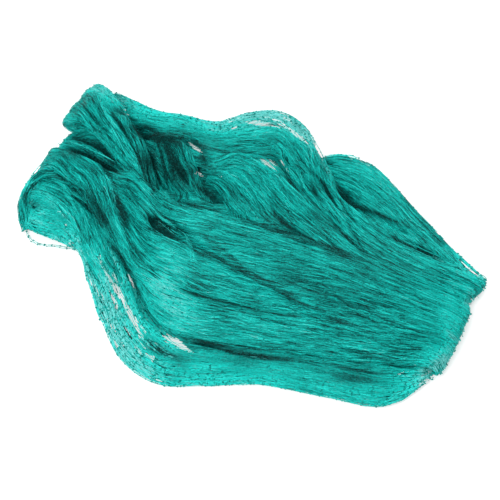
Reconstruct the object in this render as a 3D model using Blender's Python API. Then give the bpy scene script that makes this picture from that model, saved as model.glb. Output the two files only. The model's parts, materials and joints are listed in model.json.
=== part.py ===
"""Folded bird netting: a fine knotted net, drawn narrow along its length into a soft band of
parallel twines and laid back and forth, so that it lies as a loose bundle on a flat surface.

Run with blender --background --python part.py, or from the text editor. Units: metres, Z up.
The origin is the middle of the bundle's footprint, on the surface that it lies on.

The net is one piece, so the bundle is one solid. Each run of the net is a band, lofted through
a short table of sections from its far edge to its near edge. Soft ridges and troughs are raised
and sunk in the upper sides, the runs are fused, and the widest gaps in the net are cut through.
"""

import math

import bmesh
import bpy
import numpy as np

MM = 0.001

# Driving sizes, in millimetres
SECTIONS_PER_ROW = 8  # loft steps from one table row to the next
POINTS_ACROSS = 44  # loft points over the width of a band
ROUNDNESS = 2.4  # exponent of a band's rounded section: 2 is an ellipse, more is boxier
PLEAT_PITCH = 24.0  # gathered twines lie in soft pleats about this far apart
PLEAT_HEIGHT = 1.6
DEEPEST_FOLD = 0.75  # a trough goes no deeper than this share of the band's thickness
FUSE_VOXEL = 2.8  # grid that fuses the runs into one body
SMOOTH_PASSES = 2
MOST_TRIANGLES = 10300
GAP_CUTTER_HEIGHT = 240.0
LOOSE_TWINES = 2.8  # half the width of the edge twines that have slipped out at the left
CRUMB_POINTS = 40  # a loose speck this small isn't part of the net
FLOOR_BLOCK = 900.0

# One row is one section across a band. far and near are the two edges of the band's middle
# surface, thick is its loft and arch is how far its middle stands proud of the two edges.
# The rows run from right to left wherever the band is on top.
COLUMNS = ("far_x", "far_y", "far_z", "near_x", "near_y", "near_z", "thick", "arch")

RUNS = {
    # In under the bundle, round the right-hand fold, back over the top as the crest, through
    # the narrow neck and round the left-hand fold.
    "front": (
        (-175, 70, 11, -165, -40, 11, 24, 0),
        (-90, 112, 11, -100, -112, 11, 26, 0),
        (40, 112, 11, 40, -146, 11, 26, 0),
        (160, 62, 11, 160, -158, 11, 26, 0),
        (262, -22, 10, 225, -172, 10, 22, 0),
        (303, -82, 20, 253, -195, 15, 17, 0),
        (280, -82, 34, 236, -186, 26, 17, 3),
        (200, -52, 44, 185, -182, 27, 22, 8),
        (110, -10, 51, 110, -172, 25, 25, 10),
        (20, 22, 57, 20, -160, 22, 27, 12),
        (-50, 42, 62, -60, -148, 21, 28, 14),
        (-105, 60, 64, -110, -133, 21, 28, 14),
        (-145, 92, 64, -142, -97, 24, 28, 12),
        (-172, 112, 63, -165, -47, 30, 27, 10),
        (-205, 118, 61, -188, 6, 38, 26, 8),
        (-240, 146, 54, -222, 58, 44, 24, 8),
        (-286, 176, 42, -272, 100, 42, 20, 6),
        (-307, 192, 22, -332, 126, 22, 16, 0),
        (-275, 180, 9, -290, 120, 9, 14, 0),
    ),
    # Hidden layers between the under side and the crest.
    "inner": (
        (225, -5, 22, 205, -142, 19, 18, 0),
        (150, 40, 25, 150, -142, 20, 30, 4),
        (60, 85, 26, 60, -138, 20, 36, 8),
        (-40, 95, 26, -40, -124, 20, 38, 8),
        (-130, 105, 30, -125, -95, 20, 38, 6),
        (-195, 105, 34, -180, -20, 26, 30, 0),
    ),
    # Loose along the front edge, up the left side and round the low left fold.
    "outer": (
        (256, -178, 12, 230, -208, 9, 13, 0),
        (178, -158, 14, 176, -234, 6, 15, 3),
        (95, -148, 13, 100, -220, 6, 15, 3),
        (10, -140, 12, 10, -201, 6, 15, 3),
        (-50, -136, 12, -60, -204, 5, 14, 3),
        (-100, -122, 12, -125, -200, 5, 13, 3),
        (-128, -90, 14, -175, -162, 5, 13, 3),
        (-150, -36, 18, -206, -99, 6, 13, 3),
        (-172, 14, 25, -228, -42, 8, 13, 4),
        (-196, 52, 33, -242, 4, 11, 16, 5),
        (-232, 94, 37, -270, 24, 14, 18, 7),
        (-290, 120, 34, -314, 44, 14, 18, 6),
        (-334, 140, 18, -340, 64, 13, 14, 0),
        (-298, 128, 7, -310, 72, 7, 12, 0),
    ),
    # From under the crest up to the far left fold.
    "upper_lobe": (
        (-136, 92, 40, -182, 84, 40, 18, 0),
        (-146, 145, 45, -190, 126, 42, 20, 4),
        (-163, 195, 48, -205, 163, 43, 20, 6),
        (-190, 244, 48, -232, 200, 42, 20, 6),
        (-216, 292, 43, -266, 226, 38, 18, 5),
        (-242, 326, 22, -290, 242, 20, 14, 0),
        (-206, 290, 9, -255, 222, 9, 16, 0),
    ),
    # The low lobe between the two big ones.
    "middle_lobe": (
        (-165, 165, 32, -200, 120, 36, 16, 0),
        (-200, 205, 27, -235, 148, 32, 18, 3),
        (-238, 228, 22, -272, 174, 27, 16, 3),
        (-272, 234, 14, -296, 190, 15, 13, 0),
        (-244, 222, 8, -270, 184, 8, 14, 0),
    ),
    # Along the back from the right-hand fold up to the far left corner.
    "back": (
        (288, -44, 9, 276, -78, 9, 13, 0),
        (330, -50, 19, 312, -88, 19, 14, 0),
        (276, -20, 31, 262, -76, 33, 16, 2),
        (205, 24, 36, 190, -42, 39, 18, 4),
        (154, 76, 33, 135, -2, 41, 20, 5),
        (124, 138, 24, 92, 46, 41, 20, 6),
        (106, 196, 14, 64, 96, 40, 20, 6),
        (83, 246, 12, 48, 136, 38, 20, 6),
        (48, 275, 11, 30, 162, 36, 22, 8),
        (-5, 271, 11, -10, 163, 34, 22, 8),
        (-52, 252, 12, -60, 166, 34, 22, 8),
        (-100, 262, 12, -108, 190, 34, 22, 8),
        (-145, 275, 12, -152, 204, 32, 20, 6),
        (-180, 296, 12, -192, 225, 24, 18, 3),
        (-214, 316, 14, -222, 262, 16, 14, 0),
    ),
    # Beside the crest, over the hollow and up to the back run.
    "middle": (
        (296, -72, 22, 290, -100, 22, 14, 0),
        (222, -50, 39, 228, -85, 34, 16, 3),
        (155, -8, 44, 168, -62, 37, 18, 4),
        (100, 50, 46, 110, -30, 38, 20, 5),
        (64, 104, 46, 62, 0, 37, 20, 6),
        (34, 146, 46, 20, 20, 34, 20, 7),
        (0, 165, 45, -22, 40, 30, 20, 7),
        (-35, 164, 44, -70, 66, 27, 20, 6),
        (-72, 166, 43, -112, 98, 26, 20, 5),
        (-110, 190, 40, -142, 140, 28, 18, 3),
        (-150, 202, 34, -164, 178, 30, 14, 0),
    ),
    # Under the hollow, from below the crest up to the back run.
    "hollow": (
        (-55, 60, 20, -130, 60, 20, 16, 0),
        (-85, 105, 19, -140, 100, 20, 15, 2),
        (-105, 155, 22, -150, 150, 24, 15, 2),
        (-122, 205, 26, -166, 200, 28, 14, 0),
    ),
    # The bulge at the back, from the right-hand fold to the notch.
    "right": (
        (328, -38, 15, 316, -70, 17, 13, 0),
        (295, 2, 13, 288, -52, 24, 16, 3),
        (265, 48, 11, 255, -30, 29, 20, 5),
        (232, 98, 11, 222, -8, 31, 22, 7),
        (200, 150, 11, 185, 25, 31, 24, 8),
        (165, 182, 11, 148, 62, 28, 24, 8),
        (130, 190, 10, 120, 100, 24, 20, 5),
        (104, 182, 10, 106, 140, 18, 13, 0),
    ),
}

# One row is one ridge (rise over 0) or trough (rise under 0), an arc through three plan points.
FOLD_COLUMNS = ("x0", "y0", "x1", "y1", "x2", "y2", "half_width", "rise")

FOLDS = (
    # the long dark gap under the crest
    (-140, 40, -100, 0, -35, -42, 10, -17),
    (-45, -36, 20, -76, 110, -106, 9, -9),
    (90, -98, 160, -112, 245, -130, 8, -6),
    # the crease below it
    (-100, -84, -40, -105, 50, -118, 7, -9),
    (35, -117, 120, -124, 228, -148, 7, -7),
    # the front edge's creases
    (-60, -135, 40, -148, 150, -152, 6, -5),
    (140, -160, 190, -170, 245, -172, 6, -6),
    # the crest itself
    (-185, 95, -110, 40, 0, -10, 15, 7),
    (10, -12, 100, -50, 220, -85, 14, 4),
    # the big pleat down the left side, with a trough at each side of it
    (-288, 168, -225, 125, -197, 72, 12, 7),
    (-200, 84, -186, 20, -140, -68, 13, 8),
    (-188, 74, -160, 8, -112, -62, 8, -8),
    (-288, 116, -250, 84, -214, 14, 9, -11),
    # the low left lobe's pleat
    (-314, 78, -270, 62, -230, -12, 9, 6),
    # the upper lobe's three pleats
    (-266, 230, -225, 194, -194, 134, 8, 5),
    (-264, 248, -208, 194, -178, 124, 6, -7),
    (-252, 268, -195, 204, -164, 118, 9, 6),
    (-232, 272, -178, 200, -152, 128, 6, -7),
    (-212, 262, -165, 190, -146, 118, 7, 5),
    # the back run
    (-160, 232, -60, 216, 45, 214, 8, -6),
    (-120, 252, -40, 238, 30, 246, 7, 4),
    (40, 176, 92, 102, 172, -16, 8, 5),
    (62, 186, 106, 96, 160, 30, 6, -8),
    (84, 198, 120, 112, 170, 42, 7, 5),
    # the right-hand bulge's two dark valleys
    (128, 116, 172, 62, 236, 26, 10, -14),
    (200, 22, 240, -2, 292, -34, 8, -9),
    (150, 150, 205, 90, 262, 20, 10, 5),
    # the hollow and the pleats that fan out round it
    (-138, 190, -128, 130, -118, 84, 6, -8),
    (-118, 184, -96, 122, -80, 74, 6, -8),
    (-84, 128, -62, 104, -46, 76, 13, -17),
    (-50, 150, 5, 84, 58, 20, 7, -6),
    (-10, 152, 45, 78, 104, -2, 7, -6),
)

# One row is one gap right through the net, a lens from end to end.
GAP_COLUMNS = ("x0", "y0", "x1", "y1", "width")

GAPS = (
    (-216, -6, -180, -76, 8),
    (-196, -30, -168, -92, 6),
    (-178, -72, -150, -130, 9),
    (-122, -128, -72, -162, 14),
    (-94, 204, -66, 170, 9),
    (15, 160, 42, 130, 14),
    (46, 166, 60, 134, 7),
    (-88, 140, -58, 122, 8),
    (-50, 130, -24, 126, 7),
    (-18, 254, 38, 256, 8),
    (44, 254, 74, 236, 8),
    (77, 230, 92, 204, 7),
)

# The middle line of the loose edge twines, which slip out of the outer run and lie on the surface.
LOOP_COLUMNS = ("x", "y", "z")

LOOSE_LOOP = (
    (-228, 16, 12),
    (-250, 20, 3),
    (-280, 26, 2),
    (-304, 29, 2),
    (-320, 38, 2),
    (-327, 54, 5),
    (-320, 84, 14),
)


def eased_rows(rows, steps):
    """The rows of a table with steps - 1 more between each pair, on a Catmull-Rom curve."""
    table = np.array(rows, float)
    padded = np.vstack([2 * table[0] - table[1], table, 2 * table[-1] - table[-2]])
    found = []
    for i in range(len(table) - 1):
        before, start, end, after = padded[i : i + 4]
        for t in np.arange(steps) / steps:
            bend = 2 * before - 5 * start + 4 * end - after
            turn = 3 * start - before - 3 * end + after
            found.append(start + (end - before) * t / 2 + bend * t**2 / 2 + turn * t**3 / 2)
    found.append(table[-1])
    return np.array(found)


def fold_rise(points):
    """How far the ridges and troughs lift the surface at these points."""
    rise = np.zeros(points.shape[:-1])
    for x0, y0, x1, y1, x2, y2, half_width, height in FOLDS:
        t = np.linspace(0, 1, 25)[:, None]
        start, bend, end = np.array((x0, y0)), np.array((x1, y1)), np.array((x2, y2))
        arc = start * (1 - t) * (1 - 2 * t) + bend * 4 * t * (1 - t) + end * t * (2 * t - 1)
        apart = np.linalg.norm(points[..., None, :2] - arc, axis=-1)
        nearest = apart.argmin(axis=-1)
        fade = np.sin(math.pi * np.clip(t[nearest, 0], 0.03, 0.97)) ** 0.6
        rise += height * fade * np.exp(-((apart.min(axis=-1) / half_width) ** 2))
    return rise


def band_rings(rows):
    """Closed rings of points along a band: over its upper side from far to near, and back."""
    eased = eased_rows(rows, SECTIONS_PER_ROW)
    far, near = eased[:, 0:3], eased[:, 3:6]
    thick, arch = eased[:, 6], eased[:, 7]
    along = np.gradient((far + near) / 2, axis=0)
    normal = np.cross(along, near - far)
    normal /= np.linalg.norm(normal, axis=1)[:, None]
    across = 0.5 - 0.5 * np.cos(np.linspace(0, math.pi, POINTS_ACROSS))
    bulge = (1 - np.abs(2 * across - 1) ** ROUNDNESS) ** (1 / ROUNDNESS)
    middle = far[:, None] + (near - far)[:, None] * across[None, :, None]
    middle = middle + normal[:, None] * (arch[:, None] * 4 * across * (1 - across))[..., None]
    loft = normal[:, None] * (thick[:, None] / 2 * bulge)[..., None]
    upper, lower = middle + loft, middle - loft
    width = np.linalg.norm(near - far, axis=1).mean()
    pleats = np.cos(2 * math.pi * round(width / PLEAT_PITCH) * across) * bulge
    facing_up = np.clip(normal[:, None, 2], 0, 1)
    rise = np.maximum(fold_rise(upper), -DEEPEST_FOLD * thick[:, None]) * bulge
    upper[..., 2] += (rise + PLEAT_HEIGHT * pleats) * facing_up
    return np.concatenate([upper, lower[:, -2:0:-1]], axis=1) * MM


def add_band(mesh, rings):
    """Adds one closed band to a bmesh: its sides, and a cap at each end."""
    loops = [[mesh.verts.new(point) for point in ring] for ring in rings]
    count = len(loops[0])
    for first, second in zip(loops, loops[1:]):
        for i in range(count):
            j = (i + 1) % count
            mesh.faces.new((first[i], first[j], second[j], second[i]))
    mesh.faces.new(loops[0][::-1])
    mesh.faces.new(loops[-1])


def object_from(mesh, name):
    """A new object from a bmesh, with its faces pointing out."""
    bmesh.ops.recalc_face_normals(mesh, faces=mesh.faces)
    data = bpy.data.meshes.new(name)
    mesh.to_mesh(data)
    mesh.free()
    made = bpy.data.objects.new(name, data)
    bpy.context.scene.collection.objects.link(made)
    return made


def helper(obj):
    """Marks an object as a cutter or a tool, which isn't part of the model."""
    obj.hide_render = True
    obj.display_type = "WIRE"
    return obj


def floor_block():
    """A block whose top is the surface that the bundle lies on."""
    mesh = bmesh.new()
    bmesh.ops.create_cube(mesh, size=FLOOR_BLOCK * MM)
    bmesh.ops.translate(mesh, verts=mesh.verts, vec=(0, 0, -FLOOR_BLOCK / 2 * MM))
    return helper(object_from(mesh, "floor_block"))


def gap_cutters():
    """One upright prism for each gap, with a lens for its outline."""
    mesh = bmesh.new()
    for x0, y0, x1, y1, width in GAPS:
        start, end = np.array((x0, y0)), np.array((x1, y1))
        side = np.array((y0 - y1, x1 - x0)) / np.linalg.norm(end - start) * width / 2
        steps = np.linspace(0, 1, 7)
        one = [start + (end - start) * t + side * math.sin(math.pi * t) for t in steps]
        other = [start + (end - start) * t - side * math.sin(math.pi * t) for t in steps[-2:0:-1]]
        low = [mesh.verts.new((x * MM, y * MM, -GAP_CUTTER_HEIGHT / 2 * MM)) for x, y in one + other]
        made = bmesh.ops.extrude_face_region(mesh, geom=[mesh.faces.new(low)])
        raised = [item for item in made["geom"] if isinstance(item, bmesh.types.BMVert)]
        bmesh.ops.translate(mesh, verts=raised, vec=(0, 0, GAP_CUTTER_HEIGHT * MM))
    return helper(object_from(mesh, "gap_cutters"))


def loose_loop():
    """The strand of edge twines that lies in a loop beside the low left lobe."""
    route = eased_rows(LOOSE_LOOP, 4)
    along = np.gradient(route[:, :2], axis=0)
    along /= np.linalg.norm(along, axis=1)[:, None]
    side = np.stack([-along[:, 1], along[:, 0], np.zeros(len(route))], axis=1)
    rings = []
    for angle in np.arange(6) * math.pi / 3:
        rings.append(route + LOOSE_TWINES * (side * math.cos(angle) + (0, 0, math.sin(angle))))
    mesh = bmesh.new()
    add_band(mesh, np.stack(rings, axis=1) * MM)
    return helper(object_from(mesh, "loose_loop"))


def netting_material():
    """Sea green polyethylene twine."""
    material = bpy.data.materials.new("green_netting")
    material.use_nodes = True
    shader = material.node_tree.nodes["Principled BSDF"]
    shader.inputs["Base Color"].default_value = (0.01, 0.31, 0.27, 1)
    shader.inputs["Roughness"].default_value = 0.5
    shader.inputs["Metallic"].default_value = 0.0
    return material


def boolean(obj, name, operation, other):
    """A Boolean modifier on an object whose folds may touch each other."""
    modifier = obj.modifiers.new(name, "BOOLEAN")
    modifier.operation = operation
    modifier.object = other
    modifier.use_self = True


def triangles_now(obj):
    """How many triangles an object has with the modifiers that it has so far."""
    mesh = obj.evaluated_get(bpy.context.evaluated_depsgraph_get()).to_mesh()
    mesh.calc_loop_triangles()
    return len(mesh.loop_triangles)


def apply_modifiers(obj):
    """Makes an object's mesh what its modifiers make of it."""
    graph = bpy.context.evaluated_depsgraph_get()
    obj.data = bpy.data.meshes.new_from_object(obj.evaluated_get(graph))
    obj.modifiers.clear()


def drop_crumbs(obj):
    """Deletes the specks that thinning and cutting part from the body."""
    mesh = bmesh.new()
    mesh.from_mesh(obj.data)
    left = set(mesh.verts)
    bodies = []
    while left:
        front = [left.pop()]
        body = list(front)
        while front:
            point = front.pop()
            near = {edge.other_vert(point) for edge in point.link_edges} & left
            left -= near
            front += near
            body += near
        bodies.append(body)
    for body in sorted(bodies, key=len)[:-1]:
        if len(body) <= CRUMB_POINTS:
            bmesh.ops.delete(mesh, geom=body, context="VERTS")
    mesh.to_mesh(obj.data)
    mesh.free()


def centre_on_footprint(obj):
    """Moves an object's mesh so that the origin is the middle of its footprint."""
    points = np.array([vertex.co[:] for vertex in obj.data.vertices])
    middle = (points.min(axis=0) + points.max(axis=0)) / 2
    for vertex in obj.data.vertices:
        vertex.co.x -= middle[0]
        vertex.co.y -= middle[1]


def netting():
    """The whole net as one fused solid, flat where it rests."""
    mesh = bmesh.new()
    for rows in RUNS.values():
        add_band(mesh, band_rings(rows))
    net = object_from(mesh, "netting")
    net.data.materials.append(netting_material())
    fuse = net.modifiers.new("fuse_runs", "REMESH")
    fuse.mode = "VOXEL"
    fuse.voxel_size = FUSE_VOXEL * MM
    soften = net.modifiers.new("soften", "SMOOTH")
    soften.iterations = SMOOTH_PASSES
    soften.factor = 0.5
    thin = net.modifiers.new("fewer_faces", "DECIMATE")
    thin.ratio = min(1.0, MOST_TRIANGLES / triangles_now(net))
    thin.use_collapse_triangulate = True
    boolean(net, "add_loose_loop", "UNION", loose_loop())
    boolean(net, "cut_gaps", "DIFFERENCE", gap_cutters())
    boolean(net, "lie_flat", "DIFFERENCE", floor_block())
    apply_modifiers(net)
    drop_crumbs(net)
    centre_on_footprint(net)
    return net


def main():
    for old in list(bpy.data.objects):
        bpy.data.objects.remove(old)
    netting()


main()
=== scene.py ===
"""Folded bird netting, dressed: thin sheets of packed twines on the folds of the bundle, fine
twines with their knots over them, the loose edge twines, and a studio stage.

Laid out as a Blender add-on and run as a script. Units: metres, Z up. The tables are in
millimetres, from the point TABLE_MIDDLE off the middle of the footprint.
"""

import json
import math

import bpy
import numpy as np
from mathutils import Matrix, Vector
from mathutils.bvhtree import BVHTree

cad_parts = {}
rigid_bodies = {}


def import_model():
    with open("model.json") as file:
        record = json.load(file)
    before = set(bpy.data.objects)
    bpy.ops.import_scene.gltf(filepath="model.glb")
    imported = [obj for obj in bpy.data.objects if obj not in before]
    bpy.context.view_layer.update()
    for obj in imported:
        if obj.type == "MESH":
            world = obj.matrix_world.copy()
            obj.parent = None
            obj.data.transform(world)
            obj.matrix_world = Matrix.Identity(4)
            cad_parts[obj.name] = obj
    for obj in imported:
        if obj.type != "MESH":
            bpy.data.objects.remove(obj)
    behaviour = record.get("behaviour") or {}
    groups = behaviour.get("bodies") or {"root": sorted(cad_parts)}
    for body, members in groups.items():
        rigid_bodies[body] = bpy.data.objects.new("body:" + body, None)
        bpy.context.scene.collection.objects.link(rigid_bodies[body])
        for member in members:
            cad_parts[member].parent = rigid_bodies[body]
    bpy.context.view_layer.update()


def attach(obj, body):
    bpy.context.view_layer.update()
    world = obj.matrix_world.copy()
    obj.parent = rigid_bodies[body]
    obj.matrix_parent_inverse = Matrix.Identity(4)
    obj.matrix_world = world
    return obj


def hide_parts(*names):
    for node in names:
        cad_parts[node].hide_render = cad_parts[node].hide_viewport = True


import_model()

bl_info = {
    "name": "Folded Bird Netting",
    "version": (1, 0, 0),
    "blender": (4, 5, 0),
    "location": "3D View > Sidebar > Netting",
    "description": "Builds a folded bundle of fine knotted bird netting",
    "category": "Add Mesh",
}

NODE = "netting"
MM = 0.001
WHITE, BLACK = (1, 1, 1, 1), (0, 0, 0, 1)
STATE = {}  # what is worked out once and used by several operators

# The bands' rounded sections, in millimetres like all tables of places.
TABLE_MIDDLE = np.array((-6.78, 45.68, 0.0))
SECTIONS_PER_ROW = 8  # loft steps from one table row to the next
POINTS_ACROSS = 44  # loft points over the width of a band
ROUNDNESS = 2.4  # exponent of a band's rounded section
ACROSS = 0.5 - 0.5 * np.cos(np.linspace(0, math.pi, POINTS_ACROSS))
BULGE = (1 - np.abs(2 * ACROSS - 1) ** ROUNDNESS) ** (1 / ROUNDNESS)
PLEAT_PITCH = 24.0
PLEAT_HEIGHT = 1.6
DEEPEST_FOLD = 0.75  # how much of a band's thickness a trough may take
# Runs whose sheet has cells of another size: how much narrower and how much shorter.
FINER = {"outer": (1.8, 2.5), "back": (1.3, 1.5), "right": (1.3, 1.25), "inner": (0.5, 1.0)}
LOWEST = 0.0006  # nothing of the net lies lower than this over the floor, in metres
ON_TOP, WELL_ON_TOP, BELOW = 0.5, 0.7, 0.3  # shares that part a run's upper and under side

# Folds, creases and soft ridges along arcs.
ARC_STEPS = np.linspace(0, 1, 25)[:, None]
STROKE_REACH = 2.6  # how many half widths from its arc a crease or ridge still counts
# The strokes' shade is painted shade in their creases and painted light on their ridges.
STROKE_CORE = 0.28  # half width of the darkest core, as a share of the whole half width
STROKE_SHADE, CORE_SHADE = 0.82, 0.50  # how much of the shade lies in both
SINKABLE = 0.6  # how much of a run's thickness a crease may take

# Loose pleats laid on the bundle.
PLEAT_STEPS = 6  # loft steps from one row of a loose pleat to the next
PLEAT_UNDER = 3.0  # how far a loose pleat's edges tuck in under the surface
RAY_TOP = 120  # height over everything, from which rays look down the slant
SMOOTHINGS = 6  # how often the surface under a loose pleat is smoothed
STEEPEST_FALL = 0.8  # how far that surface falls for each millimetre where nothing lies under it
LOWEST_FALL = 4  # and the level below which it never falls
LOOSE_BUNDLES = 0.4  # how high a loose pleat's small bundles are in the creases between them

# How the twines stray sideways: length and width of a patch and how far, in metres.
STRAYS = ((0.13, 0.045, 0.0024), (0.06, 0.016, 0.0003))
# The small bundles: a ripple's length in metres, width in pitches, share and exponent.
RIPPLES = ((0.20, 1.9, 0.45, 0.6), (0.12, 1.0, 0.40, 0.6), (0.07, 0.55, 0.25, 0.7))
BUNDLE_LEVEL = 0.75  # the height of a small bundle that lies on the folds' own surface
SHEET_DEPTH = 0.0006  # how far the sheet lies under the twines, in metres
STREAK_LEAN = 0.08  # how far the streaks of tone lean to both sides
BASE_TONE, STREAK_TONE, WIDE_TONE = 0.135, 0.25, 0.05  # the tone that all layers share
# painted shade: the sheet is darkened in the creases between the small bundles
CREASE_HEIGHT, CREASE_DARK = 0.42, 0.8  # the sheet is darker where the bundles are lower
HOLE, RAGGED = (0.012, 0.0021), (0.011, 0.0028)  # length and width of holes and frayed edges
OPEN, CLOSED = 0.1, 0.02  # shares of holes over and under which a place counts as open or closed

# The single twines, in metres.
ZIGZAG = 0.86  # how far two neighbour twines lean to their shared knot, as a share of the pitch
TWINE_REACH = 0.075  # length of one twine before the next takes its place
OUT_OF_STEP = 0.7  # how far the knots of neighbours are out of step, in halves of the spacing
FIRST_SLOPE, LAYER_SLOPE = 0.02, 0.030  # how far the twines lean, and how much more each layer
OWN_STRAY = 0.0008  # how far a single twine strays from its neighbours
FIRST_LIFT, LAYER_LIFT = 0.0002, 0.0009  # how high the twines lie, and how far each layer lifts
LOWEST_HEIGHT, LUCKY_HEIGHT = 0.16, 0.12  # twines in creases lower than this are left out
FACES_DOWN = -0.2  # where the normals point lower, only the first layers have twines
SPANS_GAPS = 0.83  # twines with more luck than this run on over the gaps
OWN_TONE, KNOTTY_TONE, PATCH_TONE, STEP_TONE = 0.26, 0.15, 0.34, 0.22
FILM_TONE, FILM_SPREAD, FILM_PATCH = 0.82, 0.14, 0.12  # the pale tone where a run is sheer
THINNEST, THICKEST = 0.75, 1.2  # thickness of a twine, as a share of the setting
KNOTS, SHEER_KNOTS, CROWDED_KNOTS = 0.14, 0.70, 0.08  # how many of the meetings show a knot
# The long twines: the dark ones are painted shadow lines, the pale ones painted highlights.
LONG_TWINES = ((0.00070, 0.03, 777), (0.00300, 0.74, 888))  # area for each one, paleness, seed
# The crease twines are the twines of painted shade and painted highlight along the strokes.
LONG_LIFT, CREASE_LIFT = 0.0029, 0.0022  # how high the long twines and the crease twines lie
LONG_STEPS = 12  # how many knot spacings a long twine has at most, counted in halves
MOST_EDGES = 42000  # how many twine steps go into one piece at most
TWINE_INSIDE, LONG_INSIDE = 0.0035, 0.0030  # how deep in the solid a twine is left out
PLEAT_ABOVE, PLEAT_TOUCHES = 0.03, 0.0018  # a pleat this near above hides a twine, nearer not
ON_FLOOR = 0.002  # the under side's twines are left out below this
HIGHEST_STEP = 0.009  # a crease twine ends where the sheet drops or rises more than this

# The sheets' textures: how many streaks or knots to a metre, along and across the twines.
FINE_STREAKS, WIDE_STREAKS, KNOT_CELLS = (22, 900, 1), (9, 240, 1), (165, 230, 1)
# Colours beside the two greens of the settings.
BRIGHT_GREEN = (0.02, 0.85, 0.78, 1)
LIT_GREEN = (0.10, 0.80, 0.74, 1)
TWINE_GREEN = (0.012, 0.80, 0.72, 1)
DARKEST_GREEN = (0, 0.01, 0.01, 1)
FILM = ((0.018, 0.40, 0.36, 1), (0.045, 0.50, 0.46, 1), (0.18, 0.62, 0.59, 1))
PALE_TWINES = ((0.020, 0.66, 0.59, 1), (0.050, 0.52, 0.48, 1), (0.140, 0.60, 0.57, 1))

# The stage, in metres.
FLOOR_GLOW = 0.52  # how strongly the floor glows, so that it stays pale right up to the bundle
LIGHTS = (  # name, place, size and share of the key power
    ("key_light", (-0.9, -1.1, 1.9), 1.2, 1.0),
    ("top_light", (0.3, 0.5, 2.4), 2.0, 0.6),
)
SENSOR = 36.0  # width of the camera's sensor, in millimetres
PICTURE_WIDTH = 0.71  # how much the camera sees from side to side at the bundle's middle
LOOKED_AT = (0, 0, 30)  # the table point that the camera looks at

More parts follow.
